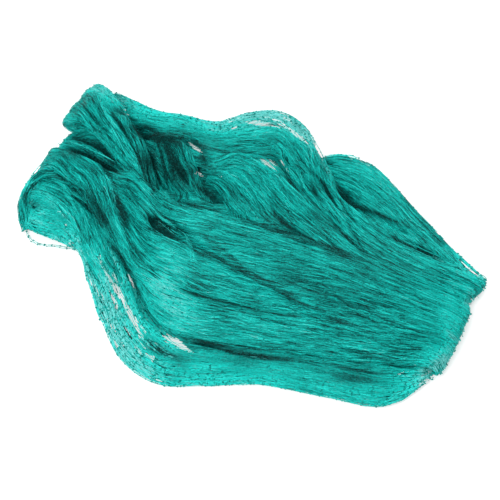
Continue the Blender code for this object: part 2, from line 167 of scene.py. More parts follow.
# One row is one section across a band, in millimetres. far and near are the two edges of the
# band's middle surface, thick is its loft and arch is how far its middle stands proud of them.
# The columns: far x, y, z, near x, y, z, thick, arch.
RUNS = {
    # In under the bundle, round the right-hand fold, back over the top as the crest, through
    # the narrow neck and round the left-hand fold.
    "front": (
        (-175, 70, 11, -165, -40, 11, 24, 0),
        (-90, 112, 11, -100, -112, 11, 26, 0),
        (40, 112, 11, 40, -146, 11, 26, 0),
        (160, 62, 11, 160, -158, 11, 26, 0),
        (262, -22, 10, 225, -172, 10, 22, 0),
        (303, -82, 20, 249, -193, 15, 17, 0),
        (280, -82, 34, 236, -186, 26, 17, 3),
        (200, -52, 44, 185, -182, 27, 22, 8),
        (110, -10, 51, 110, -172, 25, 25, 10),
        (20, 22, 57, 20, -160, 22, 27, 12),
        (-50, 42, 62, -60, -148, 21, 28, 14),
        (-105, 60, 64, -110, -133, 21, 28, 14),
        (-145, 92, 64, -142, -97, 24, 28, 12),
        (-172, 112, 63, -165, -47, 30, 27, 10),
        (-205, 118, 61, -188, 6, 38, 26, 8),
        (-240, 146, 54, -222, 58, 44, 24, 8),
        (-286, 176, 42, -272, 100, 42, 20, 6),
        (-299, 190, 22, -326, 126, 22, 16, 0),
        (-275, 180, 9, -290, 120, 9, 14, 0),
    ),
    # Hidden layers between the under side and the crest.
    "inner": (
        (225, -5, 22, 205, -142, 19, 18, 0),
        (150, 40, 25, 150, -142, 20, 30, 4),
        (60, 85, 26, 60, -138, 20, 36, 8),
        (-40, 95, 26, -40, -124, 20, 38, 8),
        (-130, 105, 30, -125, -95, 20, 38, 6),
        (-195, 105, 34, -180, -20, 26, 30, 0),
    ),
    # Loose along the front edge, up the left side and round the low left fold.
    "outer": (
        (255, -178, 12, 235, -201, 9, 13, 0),
        (178, -158, 14, 176, -234, 6, 15, 3),
        (95, -148, 13, 100, -220, 6, 15, 3),
        (10, -140, 12, 10, -201, 6, 15, 3),
        (-50, -136, 12, -60, -204, 5, 14, 3),
        (-100, -122, 12, -125, -200, 5, 13, 3),
        (-128, -90, 14, -175, -162, 5, 13, 3),
        (-150, -36, 18, -206, -99, 6, 13, 3),
        (-172, 14, 25, -228, -42, 8, 13, 4),
        (-196, 52, 33, -242, 4, 11, 16, 5),
        (-232, 94, 37, -270, 24, 14, 18, 7),
        (-290, 120, 34, -314, 44, 14, 18, 6),
        (-326, 138, 18, -336, 64, 13, 14, 0),
        (-298, 128, 7, -310, 72, 7, 12, 0),
    ),
    # From under the crest up to the far left fold.
    "upper_lobe": (
        (-136, 92, 40, -182, 84, 40, 18, 0),
        (-146, 145, 45, -190, 126, 42, 20, 4),
        (-163, 195, 48, -205, 163, 43, 20, 6),
        (-190, 244, 48, -232, 200, 42, 20, 6),
        (-216, 292, 43, -266, 226, 38, 18, 5),
        (-242, 326, 22, -290, 242, 20, 14, 0),
        (-206, 290, 9, -255, 222, 9, 16, 0),
    ),
    # The low lobe between the two big ones.
    "middle_lobe": (
        (-165, 165, 32, -200, 120, 36, 16, 0),
        (-200, 205, 27, -235, 148, 32, 18, 3),
        (-238, 228, 22, -272, 174, 27, 16, 3),
        (-272, 234, 14, -296, 190, 15, 13, 0),
        (-244, 222, 8, -270, 184, 8, 14, 0),
    ),
    # Along the back from the right-hand fold up to the far left corner.
    "back": (
        (288, -44, 9, 276, -78, 9, 13, 0),
        (331, -44, 19, 300, -83, 19, 14, 0),
        (276, -20, 31, 262, -76, 33, 16, 2),
        (205, 24, 36, 190, -42, 39, 18, 4),
        (154, 76, 33, 135, -2, 41, 20, 5),
        (124, 138, 24, 92, 46, 41, 20, 6),
        (106, 196, 14, 64, 96, 40, 20, 6),
        (83, 246, 12, 48, 136, 38, 20, 6),
        (48, 275, 11, 30, 162, 36, 22, 8),
        (-5, 271, 11, -10, 163, 34, 22, 8),
        (-52, 252, 12, -60, 166, 34, 22, 8),
        (-100, 262, 12, -108, 190, 34, 22, 8),
        (-145, 275, 12, -152, 204, 32, 20, 6),
        (-180, 296, 12, -192, 225, 24, 18, 3),
        (-214, 316, 14, -222, 262, 16, 14, 0),
    ),
    # Beside the crest, over the hollow and up to the back run.
    "middle": (
        (296, -72, 22, 290, -100, 22, 14, 0),
        (222, -50, 39, 228, -85, 34, 16, 3),
        (155, -8, 44, 168, -62, 37, 18, 4),
        (100, 50, 46, 110, -30, 38, 20, 5),
        (64, 104, 46, 62, 0, 37, 20, 6),
        (34, 146, 46, 20, 20, 34, 20, 7),
        (0, 165, 45, -22, 40, 30, 20, 7),
        (-35, 164, 44, -70, 66, 27, 20, 6),
        (-72, 166, 43, -112, 98, 26, 20, 5),
        (-110, 190, 40, -142, 140, 28, 18, 3),
        (-150, 202, 34, -164, 178, 30, 14, 0),
    ),
    # Under the hollow, from below the crest up to the back run.
    "hollow": (
        (-55, 60, 20, -130, 60, 20, 16, 0),
        (-85, 105, 19, -140, 100, 20, 15, 2),
        (-105, 155, 22, -150, 150, 24, 15, 2),
        (-122, 205, 26, -166, 200, 28, 14, 0),
        (-128, 224, 25, -168, 220, 27, 12, 0),
    ),
    # The bulge at the back, from the right-hand fold to the notch.
    "right": (
        (328, -38, 15, 316, -70, 17, 13, 0),
        (295, 2, 13, 288, -52, 24, 16, 3),
        (265, 48, 11, 255, -30, 29, 20, 5),
        (232, 98, 11, 222, -8, 31, 22, 7),
        (200, 150, 11, 185, 25, 31, 24, 8),
        (165, 182, 11, 148, 62, 28, 24, 8),
        (130, 190, 10, 120, 100, 24, 20, 5),
        (104, 182, 10, 106, 140, 18, 13, 0),
    ),
}

# One row is one ridge (rise over 0) or trough (rise under 0), an arc through three plan points.
# The columns: x, y of the start, the middle and the end, half width, rise.
FOLDS = (
    # the long dark gap under the crest
    (-140, 40, -100, 0, -35, -42, 10, -17),
    (-45, -36, 20, -76, 110, -106, 9, -9),
    (90, -98, 160, -112, 245, -130, 8, -6),
    # the crease below it
    (-100, -84, -40, -105, 50, -118, 7, -9),
    (35, -117, 120, -124, 228, -148, 7, -7),
    # the front edge's creases
    (-60, -135, 40, -148, 150, -152, 6, -5),
    (140, -160, 190, -170, 245, -172, 6, -6),
    # the crest itself
    (-185, 95, -110, 40, 0, -10, 15, 7),
    (10, -12, 100, -50, 220, -85, 14, 4),
    # the big pleat down the left side, with a trough at each side of it
    (-288, 168, -225, 125, -197, 72, 12, 7),
    (-200, 84, -186, 20, -140, -68, 13, 8),
    (-188, 74, -160, 8, -112, -62, 8, -8),
    (-288, 116, -250, 84, -214, 14, 9, -11),
    # the low left lobe's pleat
    (-314, 78, -270, 62, -230, -12, 9, 6),
    # the upper lobe's three pleats
    (-266, 230, -225, 194, -194, 134, 8, 5),
    (-264, 248, -208, 194, -178, 124, 6, -7),
    (-252, 268, -195, 204, -164, 118, 9, 6),
    (-232, 272, -178, 200, -152, 128, 6, -7),
    (-212, 262, -165, 190, -146, 118, 7, 5),
    # the back run
    (-160, 232, -60, 216, 45, 214, 8, -6),
    (-120, 252, -40, 238, 30, 246, 7, 4),
    (40, 176, 92, 102, 172, -16, 8, 5),
    (62, 186, 106, 96, 160, 30, 6, -8),
    (84, 198, 120, 112, 170, 42, 7, 5),
    # the right-hand bulge's two dark valleys
    (128, 116, 172, 62, 236, 26, 10, -14),
    (200, 22, 240, -2, 292, -34, 8, -9),
    (150, 150, 205, 90, 262, 20, 10, 5),
    # the hollow and the pleats that fan out round it
    (-138, 190, -128, 130, -118, 84, 6, -8),
    (-118, 184, -96, 122, -80, 74, 6, -8),
    (-84, 128, -62, 104, -46, 76, 13, -17),
    (-50, 150, 5, 84, 58, 20, 7, -6),
    (-10, 152, 45, 78, 104, -2, 7, -6),
)

# One row is one gap right through the net, a lens from end to end: x, y, x, y, width.
GAPS = (
    (-216, -6, -180, -76, 8),
    (-196, -30, -168, -92, 6),
    (-178, -72, -150, -130, 9),
    (-122, -128, -72, -162, 14),
    (-94, 204, -66, 170, 9),
    (15, 160, 42, 130, 14),
    (46, 166, 60, 134, 7),
    (-88, 140, -58, 122, 8),
    (-50, 130, -24, 126, 7),
    (-18, 254, 38, 256, 8),
    (44, 254, 74, 236, 8),
    (77, 230, 92, 204, 7),
)

# The slant plan is the plan on the level SLANT_LEVEL, on to which everything higher or lower is
# slid along the slant on which the bundle is best seen: SLANT millimetres for each one of height.
SLANT_LEVEL, SLANT = 30.0, 0.70

# One row is one open slot in the loose outer layers only, on the slant plan: x, y, x, y, width.
SLOTS = (
    (-10, 241, 56, 230, 9),
    (56, 231, 90, 194, 9),
    (4, 255, 30, 254, 5),
    (-44, 244, -12, 250, 7),
    (-222, -50, -210, -84, 5),
    (-206, -100, -196, -124, 5),
    (-176, -38, -158, -68, 5),
    (-186, -150, -178, -166, 6),
    (-118, -138, -92, -158, 3.5),
    (190, -206, 214, -196, 5),
    (214, -192, 226, -182, 5),
    (226, -207, 250, -195, 4),
    (-94, 203, -66, 170, 6),
    (-87, 141, -68, 122, 5),
    (-49, 130, -32, 133, 4),
    (13, 166, 40, 141, 8),
    (43, 168, 59, 137, 4),
    (-210, -68, -203, -87, 3),
    (-200, -64, -179, -107, 5),
    (-177, -121, -158, -150, 4),
    (-177, -149, -171, -167, 3),
    (-157, -156, -144, -177, 3),
    (-137, 58, -112, 32, 5),
    (-112, 34, -86, 12, 4),
    (-122, 60, -96, 38, 3),
    (-144, -86, -128, -112, 3),
    (-190, -122, -182, -142, 4),
    (-166, -98, -156, -116, 3),
    (222, -221, 248, -205, 7),
    (319, -78, 305, -93, 4),
)

# One row is one crease or soft ridge, an arc through three points of the slant plan.
# depth over 0 sinks the surface there. shade is painted: over 0 it paints shade there, darker,
# and under 0 paints light, lighter. The row's number is the seed of its shade and highlight
# twines.
# The columns: x, y of the start, the middle and the end, half width, depth, shade.
STROKES = (
    # painted shade, black in the gap under the crest and in the thin dark line that goes on from
    # it
    (-144, 66, -122, 38, -90, 20, 7, 12, 0.95),
    (-128, 64, -100, 36, -66, 8, 4, 6, 0.8),
    (-100, 26, -56, -4, -8, -40, 2.5, 5, 0.75),
    (-20, -30, 16, -56, 62, -72, 2.5, 4, 0.55),
    (-60, 22, -34, -4, 4, -34, 2, 3, 0.5),
    (30, -62, 62, -84, 98, -98, 3, 5, 0.8),
    (40, -46, 70, -62, 104, -78, 1.5, 3, 0.6),
    (88, -98, 112, -112, 140, -122, 2.5, 4, 0.8),
    (104, -60, 124, -84, 152, -100, 1.5, 3, 0.7),
    (144, -80, 172, -108, 214, -120, 2.5, 5, 0.8),
    (190, -118, 222, -132, 254, -140, 2, 3, 0.8),
    (250, -142, 268, -146, 288, -143, 1.5, 2, 0.9),
    # thin streaks of painted shade along the crest
    (36, -12, 70, -18, 106, -26, 1.5, 2, 0.6),
    (58, -28, 86, -30, 116, -40, 1.5, 2, 0.6),
    (120, -38, 160, -52, 205, -70, 2, 2, 0.4),
    (-56, 46, -20, 20, 20, -8, 2, 2, 0.3),
    # painted shade in the crease below
    (-100, -58, -30, -88, 60, -106, 3, 4, 0.35),
    (40, -106, 84, -111, 150, -120, 3, 3, 0.3),
    (-100, -60, -70, -76, -40, -84, 4, 6, 0.8),
    (-60, -80, -20, -92, 12, -99, 3, 5, 0.7),
    (0, -98, 36, -106, 84, -114, 2.5, 4, 0.5),
    (84, -112, 124, -122, 170, -128, 2, 4, 0.5),
    (28, -116, 44, -121, 64, -124, 1.5, 3, 0.9),
    (-52, -104, -30, -110, -4, -114, 1.5, 2, 0.5),
    (-72, -56, -58, -60, -38, -66, 1.5, 2, 0.6),
    # painted shade in the front edge's creases
    (-104, -144, -62, -153, -20, -166, 5, 7, 0.8),
    (-40, -160, 4, -173, 66, -180, 5, 8, 1.0),
    (42, -149, 58, -153, 80, -157, 2, 3, 0.7),
    (60, -180, 100, -186, 150, -190, 2, 3, 0.5),
    (112, -188, 144, -195, 178, -203, 2.5, 4, 0.9),
    (118, -160, 156, -170, 200, -188, 3.5, 5, 0.8),
    (170, -182, 200, -189, 226, -194, 3, 5, 1.0),
    # the big pleat, from the low left fold over the neck and down the left side, with a little
    # painted light
    (-292, 182, -250, 166, -208, 126, 7, -6, -0.2),
    (-214, 134, -196, 84, -172, 14, 7, -7, -0.25),
    (-182, 40, -164, -10, -136, -58, 6, -4, -0.2),
    # painted shade in the valleys beside it
    (-236, 108, -210, 60, -178, -10, 6, 7, 0.5),
    (-204, 116, -187, 76, -164, 16, 5, 7, 0.56),
    (-176, 34, -156, -6, -124, -48, 5, 6, 0.6),
    (-196, 16, -176, -24, -154, -66, 6, 6, 0.7),
    (-168, -36, -150, -92, -118, -138, 9, 6, 0.6),
    (-262, 100, -238, 78, -208, 40, 4, 5, 0.56),
    (-300, 146, -266, 118, -226, 70, 4, 5, 0.56),
    (-272, 152, -246, 138, -222, 108, 3, 3, 0.4),
    # painted shade and painted light in the low left lobe's swirl
    (-336, 66, -333, 102, -298, 130, 3, 4, 0.64),
    (-324, 70, -326, 104, -298, 132, 2.5, 4, 0.72),
    (-322, 68, -317, 80, -308, 92, 5, 4, 0.5),
    (-305, 68, -301, 66, -297, 63, 5, 0, -0.9),
    (-318, 106, -284, 88, -242, 24, 5, -6, -0.5),
    (-300, 78, -270, 54, -236, 14, 3, 3, 0.4),
    # painted shade in the pocket between the two big lobes and on the pleats over it, with a
    # little painted light
    (-284, 216, -248, 202, -204, 164, 8, 9, 0.8),
    (-232, 188, -206, 162, -184, 138, 5, 6, 0.56),
    (-278, 189, -226, 161, -184, 130, 4, 7, 0.64),
    (-268, 204, -226, 178, -188, 144, 4, -5, -0.2),
    (-256, 186, -226, 168, -200, 152, 1.5, 2, 0.5),
    # painted shade in the upper lobe's creases and painted light on its ridges
    (-264, 288, -238, 246, -188, 180, 4, 6, 0.56),
    (-246, 294, -216, 242, -176, 172, 3, 3, 0.5),
    (-258, 262, -230, 224, -192, 176, 4, -4, -0.2),
    (-222, 270, -198, 236, -166, 172, 5, 9, 0.8),
    (-178, 194, -162, 160, -154, 130, 3, 5, 0.9),
    (-238, 298, -206, 228, -160, 132, 6, -7, -0.4),
    (-204, 254, -178, 210, -151, 134, 4, -5, -0.2),
    (-180, 238, -169, 222, -164, 208, 7, 12, 0.8),
    (-214, 266, -196, 256, -184, 246, 5, 6, 0.64),
    (-166, 160, -158, 146, -153, 128, 1.5, 2, 0.6),
    # thin shadows along the pleats' edges
    (-258, 177, -208, 140, -184, 76, 3, 3, 0.64),
    (-196, 110, -186, 84, -174, 58, 3, 4, 0.72),
    (-252, 112, -226, 84, -204, 34, 3.5, 5, 0.72),
    (-244, 104, -232, 78, -212, 48, 5, 3, 0.5),
    (-206, 30, -192, 0, -168, -36, 3, 3, 0.6),
    (-280, 187, -232, 163, -190, 134, 3, 4, 0.64),
    (-216, 256, -194, 226, -172, 190, 2.5, 4, 0.64),
    (-170, 186, -161, 162, -156, 134, 2, 4, 0.8),
    (-188, 230, -172, 200, -158, 160, 2, 3, 0.6),
    (-236, 216, -214, 182, -190, 146, 2.5, 3, 0.5),
    (-262, 262, -240, 232, -218, 196, 1.5, 2, 0.4),
    (-248, 276, -226, 240, -196, 194, 1.5, 2, 0.4),
    # painted highlights along the pleats' edges
    (-262, 173, -214, 138, -190, 72, 2.5, 0, -0.55),
    (-322, 98, -286, 80, -246, 30, 3, 0, -0.7),
    (-250, 30, -240, 6, -226, -24, 3, 0, -0.5),
    (-228, 268, -206, 234, -170, 180, 2.5, 0, -0.5),
    (-246, 232, -224, 203, -206, 172, 2.5, 0, -0.4),
    # painted shade in the hollow and in what fans out round it
    (-146, 202, -142, 150, -128, 100, 13, 4, 0.8),
    (-128, 200, -118, 160, -108, 110, 12, 2, 0.5),
    (-72, 116, -58, 98, -42, 78, 12, 3, 0.35),
    (-168, 242, -152, 226, -126, 214, 10, 2, 0.6),
    # broad painted shade and painted light over the whole bundle, from place to place
    (-40, 238, 30, 252, 94, 208, 18, 0, -0.8),
    (60, 226, 86, 196, 104, 166, 12, 0, -0.7),
    (-150, 150, -136, 120, -116, 90, 10, 0, -0.5),
    (-76, 190, -66, 160, -50, 140, 14, 0, 0.5),
    (-180, 128, -166, 100, -150, 74, 12, 0, 0.4),
    (20, -30, 70, -52, 130, -76, 18, 0, 0.4),
    (70, 80, 90, 62, 100, 46, 12, 0, 0.35),
    (-130, -110, -96, -128, -60, -140, 12, 0, -0.4),
    (238, -60, 270, -70, 290, -84, 14, 0, 0.3),
    (-340, 112, -332, 130, -318, 150, 10, 0, -0.5),
    (60, 12, 90, 6, 120, -8, 12, 0, -0.4),
    (-116, -36, -106, -84, -56, -128, 20, 0, -0.75),
    (-206, -60, -188, -124, -150, -182, 18, 0, -0.5),
    (222, -224, 252, -204, 270, -164, 14, 0, -0.9),
    (-152, 206, -128, 200, -96, 196, 13, 0, 0.8),
    (-270, 202, -236, 172, -196, 132, 20, 0, 0.2),
    (-112, -170, -60, -182, 10, -180, 15, 0, 0.25),
    (-343, 84, -340, 110, -324, 132, 6, 0, -0.4),
    (-228, 14, -216, -20, -202, -54, 14, 0, -0.7),
    (-176, 80, -160, 40, -136, 0, 12, 0, 0.3),
    (-24, -118, 40, -128, 110, -140, 14, 0, -0.45),
    (84, 124, 94, 104, 100, 84, 10, 0, 0.5),
    (96, -120, 150, -136, 220, -150, 16, 0, 0.25),
    (264, -120, 280, -60, 312, -30, 14, 0, -0.4),
    (-262, 300, -220, 292, -176, 268, 16, 0, -0.3),
    (-264, 176, -224, 148, -190, 122, 8, 0, 0.4),
    (-204, 112, -188, 84, -170, 46, 11, 0, 0.2),
    (-228, 176, -204, 160, -184, 140, 12, 0, 0.12),
    (10, 62, 66, 22, 130, -30, 26, 0, 0.35),
    (110, 10, 180, -46, 256, -88, 40, 0, 0.22),
    (-92, -160, 0, -170, 120, -194, 16, 0, 0.45),
    (96, -198, 140, -206, 194, -214, 14, 0, 0.55),
    (80, -70, 120, -86, 170, -100, 12, 0, 0.3),
    (140, 160, 180, 140, 222, 92, 16, 0, -0.45),
    (-152, -70, -140, -96, -124, -120, 10, 0, -0.4),
    (-284, 186, -270, 166, -250, 150, 10, 0, 0.45),
    (-150, -136, -124, -164, -84, -182, 12, 0, 0.55),
    (-112, 176, -108, 140, -96, 96, 26, 3, 0.45),
    # painted shade in the valleys of the hollow
    (-154, 190, -148, 138, -128, 86, 6, 12, 0.9),
    (-138, 198, -128, 150, -116, 88, 3, 5, 0.9),
    (-128, 200, -108, 152, -84, 108, 3.5, 6, 1.0),
    (-106, 196, -92, 152, -76, 116, 3, 4, 0.6),
    (-172, 210, -130, 209, -88, 206, 5, 8, 1.0),
    (-96, 204, -60, 186, -20, 178, 4, 5, 0.6),
    (-84, 124, -62, 104, -40, 80, 11, 10, 0.75),
    (-146, 182, -140, 146, -128, 108, 1.5, 2, 0.7),
    (-118, 182, -100, 146, -84, 118, 1.5, 2, 0.7),
    (-40, 116, -24, 100, -10, 78, 9, 3, 0.35),
    # painted light on the crest's rounded upper edge, and painted shade in the lines round it
    (-176, 116, -140, 102, -104, 76, 6, -5, -0.3),
    (-104, 70, -60, 62, -16, 44, 7, -5, -0.3),
    (-120, 84, -80, 78, -28, 60, 4, 4, 0.7),
    (-30, 60, 24, 40, 72, 24, 4, 5, 0.7),
    (70, 24, 112, 0, 168, -26, 5, 5, 0.7),
    (-44, 178, 0, 176, 30, 170, 3, 4, 0.6),
    (-40, 124, -14, 98, 10, 66, 3, 4, 0.5),
    (-8, 120, 12, 84, 30, 50, 2.5, 3, 0.5),
    (26, 86, 44, 52, 72, 26, 4, 5, 0.9),
    (46, 140, 62, 116, 78, 96, 3, 5, 0.9),
    (92, 40, 110, 16, 132, -8, 3, 4, 0.5),
    # painted shade in the back run's creases
    (86, 150, 104, 122, 122, 86, 3.5, 7, 1.0),
    (68, 160, 84, 120, 104, 84, 3, 4, 0.5),
    (112, 60, 138, 20, 172, -24, 3, 5, 0.9),
    (126, 96, 140, 64, 158, 32, 2, 3, 0.5),
    (-140, 218, -90, 214, -40, 212, 3, 3, 0.4),
    (40, 206, 66, 178, 84, 150, 3, 3, 0.4),
    # painted shade in the right-hand bulge's valleys
    (126, 132, 146, 88, 178, 66, 6, 10, 1.0),
    (164, 74, 198, 56, 234, 36, 4, 6, 0.9),
    (200, 24, 240, 0, 296, -32, 5, 7, 0.9),
    (110, 162, 118, 158, 130, 161, 2, 4, 0.9),
    (176, 22, 200, -12, 232, -46, 2, 2, 0.3),
    (160, 12, 180, -12, 204, -40, 2, 2, 0.4),
    # edges that lie a little farther in than the plain body, with painted light on most of them
    (-345, 80, -341, 108, -326, 138, 12, 8, -0.4),
    (-334, 128, -318, 160, -304, 192, 12, 8, -0.2),
    (228, -206, 246, -200, 262, -180, 10, 8, 0),
    (300, -94, 316, -86, 328, -68, 10, 8, -0.5),
    # where the light lies brightest
    (-134, 16, -108, -16, -88, -46, 14, 0, -0.5),
    (-150, -34, -120, -66, -92, -100, 12, 0, -0.7),
    (-120, -76, -80, -100, -30, -112, 9, 0, -0.1),
    (-240, -10, -220, -60, -190, -140, 10, 0, -0.3),
    (-180, -150, -150, -186, -110, -204, 8, 0, -0.2),
    (-60, -196, 0, -200, 60, -206, 12, 0, 0.3),
    (238, -186, 262, -160, 272, -110, 12, 0, -0.3),
    (-60, 244, 10, 258, 70, 240, 10, 0, -0.3),
    (-160, 232, -100, 240, -30, 234, 9, 0, -0.15),
    # dark twines of painted shade in the gap under the crest and along it, with two pale ones
    (-145, 66, -130, 42, -106, 18, 1.8, 2, 0.9),
    (-140, 70, -123, 48, -94, 22, 1.6, 2, 0.9),
    (-149, 60, -136, 36, -114, 14, 1.5, 2, 0.8),
    (-134, 72, -117, 52, -84, 28, 1.5, 1.5, 0.7),
    (-142, 68, -126, 45, -100, 20, 1.1, -0.5, -0.6),
    (-137, 71, -120, 50, -89, 25, 1.1, -0.5, -0.5),
    (-104, 20, -70, -6, -30, -30, 1.6, 2, 0.8),
    (-96, 20, -58, -8, -16, -34, 1.4, 1.5, 0.7),
    (-60, 0, -20, -26, 24, -44, 1.5, 1.5, 0.7),
    (-36, -24, 4, -44, 48, -58, 1.5, 1.5, 0.7),
    # patches of painted light and painted shade on the front
    (-128, -36, -122, -60, -112, -96, 12, 0, -0.35),
    (128, -150, 160, -158, 192, -160, 8, 0, -0.35),
    (-4, 152, 22, 152, 46, 142, 8, 0, -0.35),
    (-146, -128, -132, -150, -112, -172, 10, 0, 0.3),
    (90, -204, 130, -210, 170, -212, 8, 0, 0.3),
    (-127, -37, -115, -60, -96, -84, 5, 0, -0.5),
    (-4, -110, 30, -118, 66, -122, 8, 0, 0.3),
    (222, -196, 236, -198, 248, -186, 10, 0, -0.6),
    (-262, 292, -240, 304, -214, 300, 9, 0, -0.4),
    (-286, 232, -277, 242, -262, 252, 8, 0, -0.35),
    (-326, 60, -316, 52, -300, 44, 8, 0, -0.35),
    (-300, 36, -286, 28, -266, 18, 7, 0, -0.3),
    (-172, -176, -150, -194, -122, -206, 9, 0, -0.4),
    (-168, 232, -152, 224, -138, 212, 9, 0, 0.3),
    (-150, 8, -142, 0, -130, -10, 8, 0, 0.3),
    (-186, 118, -176, 98, -164, 80, 9, 0, 0.25),
    (-214, 116, -206, 90, -196, 62, 8, 0, 0.2),
    (-108, -48, -97, -78, -84, -106, 12, 0, -0.5),
    (50, -136, 80, -146, 112, -148, 10, 0, 0.3),
    (108, -20, 127, -28, 146, -34, 8, 0, -0.3),
    (240, -108, 250, -134, 244, -160, 12, 0, 0.25),
    # painted shade, black in the deepest part of the gap
    (-141, 63, -126, 38, -102, 20, 3.5, 6, 1.0),
    (-102, 21, -83, 9, -62, 0, 2.4, 4, 0.9),
    (-67, 12, -21, -20, 24, -59, 1.8, 2, 0.9),
    (24, -59, 50, -78, 80, -95, 1.6, 2, 0.8),
    # broad patches of painted shade and painted light on the back, the left lobes and the front
    (-118, 192, -88, 196, -56, 196, 12, 0, 0.35),
    (-84, 212, -60, 209, -36, 204, 9, 0, 0.3),
    (290, -60, 305, -67, 318, -76, 8, 0, -0.45),
    (-100, 33, -80, 21, -52, 9, 5, 0, -0.4),
    (-134, 190, -121, 179, -110, 164, 10, 0, 0.35),
    (-44, -182, -14, -186, 18, -190, 10, 0, 0.25),
    (-210, 72, -202, 57, -194, 40, 8, 0, 0.25),
    (-190, 158, -179, 147, -166, 136, 8, 0, 0.25),
    (-142, -54, -122, -80, -92, -104, 13, 0, -0.4),
    (-94, 28, -84, 2, -76, -28, 9, 0, -0.4),
    (-182, -140, -166, -168, -142, -190, 12, 0, -0.35),
    (-24, 224, 16, 222, 60, 208, 12, 0, -0.35),
    (-290, 176, -262, 182, -232, 186, 11, 0, 0.3),
    (-276, 106, -248, 108, -222, 96, 10, 0, 0.3),
    (-216, 66, -206, 50, -198, 34, 9, 0, 0.3),
    (24, 164, 40, 152, 56, 140, 8, 0, 0.3),
    (-94, 146, -70, 138, -40, 130, 10, 0, 0.3),
    (84, 76, 104, 58, 124, 34, 12, 0, 0.3),
    (24, -4, 40, -16, 62, -26, 12, 0, 0.3),
    (66, -128, 94, -136, 124, -138, 12, 0, 0.3),
    (-318, 66, -310, 52, -296, 46, 8, 0, -0.4),
    # painted shade, black at the gap's two ends
    (-136, 60, -124, 46, -108, 30, 2.5, 4, 1.0),
    (-108, 40, -92, 24, -74, 10, 2, 3, 0.9),
    # smaller and weaker patches of painted shade and painted light
    (-288, 180, -262, 176, -240, 170, 9, 0, 0.25),
    (-100, 44, -92, 34, -84, 24, 6, 0, -0.3),
    (220, -188, 240, -200, 252, -198, 7, 0, -0.4),
    (-270, 162, -238, 160, -206, 148, 13, 0, -0.12),
    (20, 216, 52, 206, 82, 184, 8, 0, 0.25),
    (-104, 196, -84, 182, -66, 170, 9, 0, -0.25),
    (-92, 132, -80, 140, -68, 130, 8, 0, 0.2),
    (88, 66, 108, 44, 126, 24, 10, 0, 0.2),
    (190, -64, 224, -84, 256, -98, 14, 0, -0.25),
    (100, -96, 140, -112, 182, -124, 13, 0, 0.22),
    (-20, 18, 12, 4, 40, -10, 9, 0, 0.2),
    (-190, -24, -180, -52, -168, -80, 9, 0, 0.25),
    (-140, 24, -118, 4, -96, -20, 13, 0, -0.2),
    (-132, -52, -112, -70, -88, -86, 12, 0, -0.25),
    (-160, 170, -150, 150, -140, 132, 9, 0, -0.25),
    # painted highlight on the edge of the pocket's pleat and painted shade round it
    (-282, 204, -230, 177, -180, 142, 2.5, -3, -0.4),
    (-280, 222, -246, 204, -206, 174, 9, 0, 0.35),
    (-300, 190, -276, 196, -250, 190, 5, 0, -0.3),
    # painted shade in thin valleys of the back run and the right-hand bulge
    (104, 122, 116, 92, 134, 58, 3, 5, 0.9),
    (74, 25, 120, 3, 172, -22, 2, 3, 0.8),
    (181, 42, 230, 4, 268, -18, 3, 5, 0.8),
    (134, 58, 148, 24, 168, -16, 2, 3, 0.8),
    # weak patches of painted shade and painted light on the front end and the left side
    (240, -170, 262, -172, 272, -160, 8, 0, -0.3),
    (-264, 168, -238, 152, -212, 138, 8, 0, 0.2),
    (-240, 146, -224, 138, -208, 130, 9, 0, 0.2),
    (-136, -152, -118, -168, -94, -182, 10, 0, 0.3),
    (-112, -84, -96, -94, -78, -100, 11, 0, -0.25),
    (-22, -178, 10, -186, 42, -190, 11, 0, 0.2),
    (108, 84, 122, 66, 132, 44, 5, 0, -0.2),
    # weak patches of painted shade and painted light over the whole bundle
    (-72, 203, -70, 172, -66, 142, 12, 0, 0.35),
    (-212, 84, -196, 68, -176, 50, 11, 0, 0.25),
    (-92, 56, -72, 48, -44, 40, 10, 0, -0.25),
    (6, 238, 32, 240, 62, 236, 9, 0, -0.3),
    (80, 216, 92, 206, 98, 192, 7, 0, -0.35),
    (-108, -76, -90, -80, -70, -82, 12, 0, -0.2),
    (-196, -98, -190, -112, -182, -128, 8, 0, -0.3),
    (-176, -168, -160, -182, -140, -196, 9, 0, -0.3),
    (-166, 214, -152, 208, -138, 200, 9, 0, 0.3),
    (14, 182, 34, 176, 56, 168, 9, 0, 0.25),
    # pale twines of painted highlight across the gap, with painted light round them
    (-134, 62, -116, 48, -95, 32, 1.5, -2, -1.1),
    (-126, 46, -108, 32, -88, 18, 1.2, -1, -0.9),
    # weak patches of painted shade and painted light on the left lobes, the front edge and the
    # right-hand end
    (-222, 190, -206, 160, -190, 110, 10, 0, 0.3),
    (-184, 84, -174, 56, -174, 26, 11, 0, 0.35),
    (-282, 212, -270, 200, -258, 190, 10, 0, 0.35),
    (-248, 186, -236, 172, -226, 158, 10, 0, 0.25),
    (-152, -152, -134, -164, -112, -170, 10, 0, 0.35),
    (-104, -176, -90, -190, -74, -206, 10, 0, 0.3),
    (256, -186, 240, -204, 222, -218, 10, 0, -1.0),
    (306, -78, 298, -90, 290, -104, 9, 0, -0.6),
    (-120, -62, -112, -88, -106, -112, 10, 0, -0.35),
    (214, -124, 244, -148, 272, -158, 10, 0, 0.25),
    (-210, -48, -186, -52, -164, -44, 12, 0, -0.25),
    (-166, -178, -150, -192, -132, -204, 9, 0, -0.3),
)

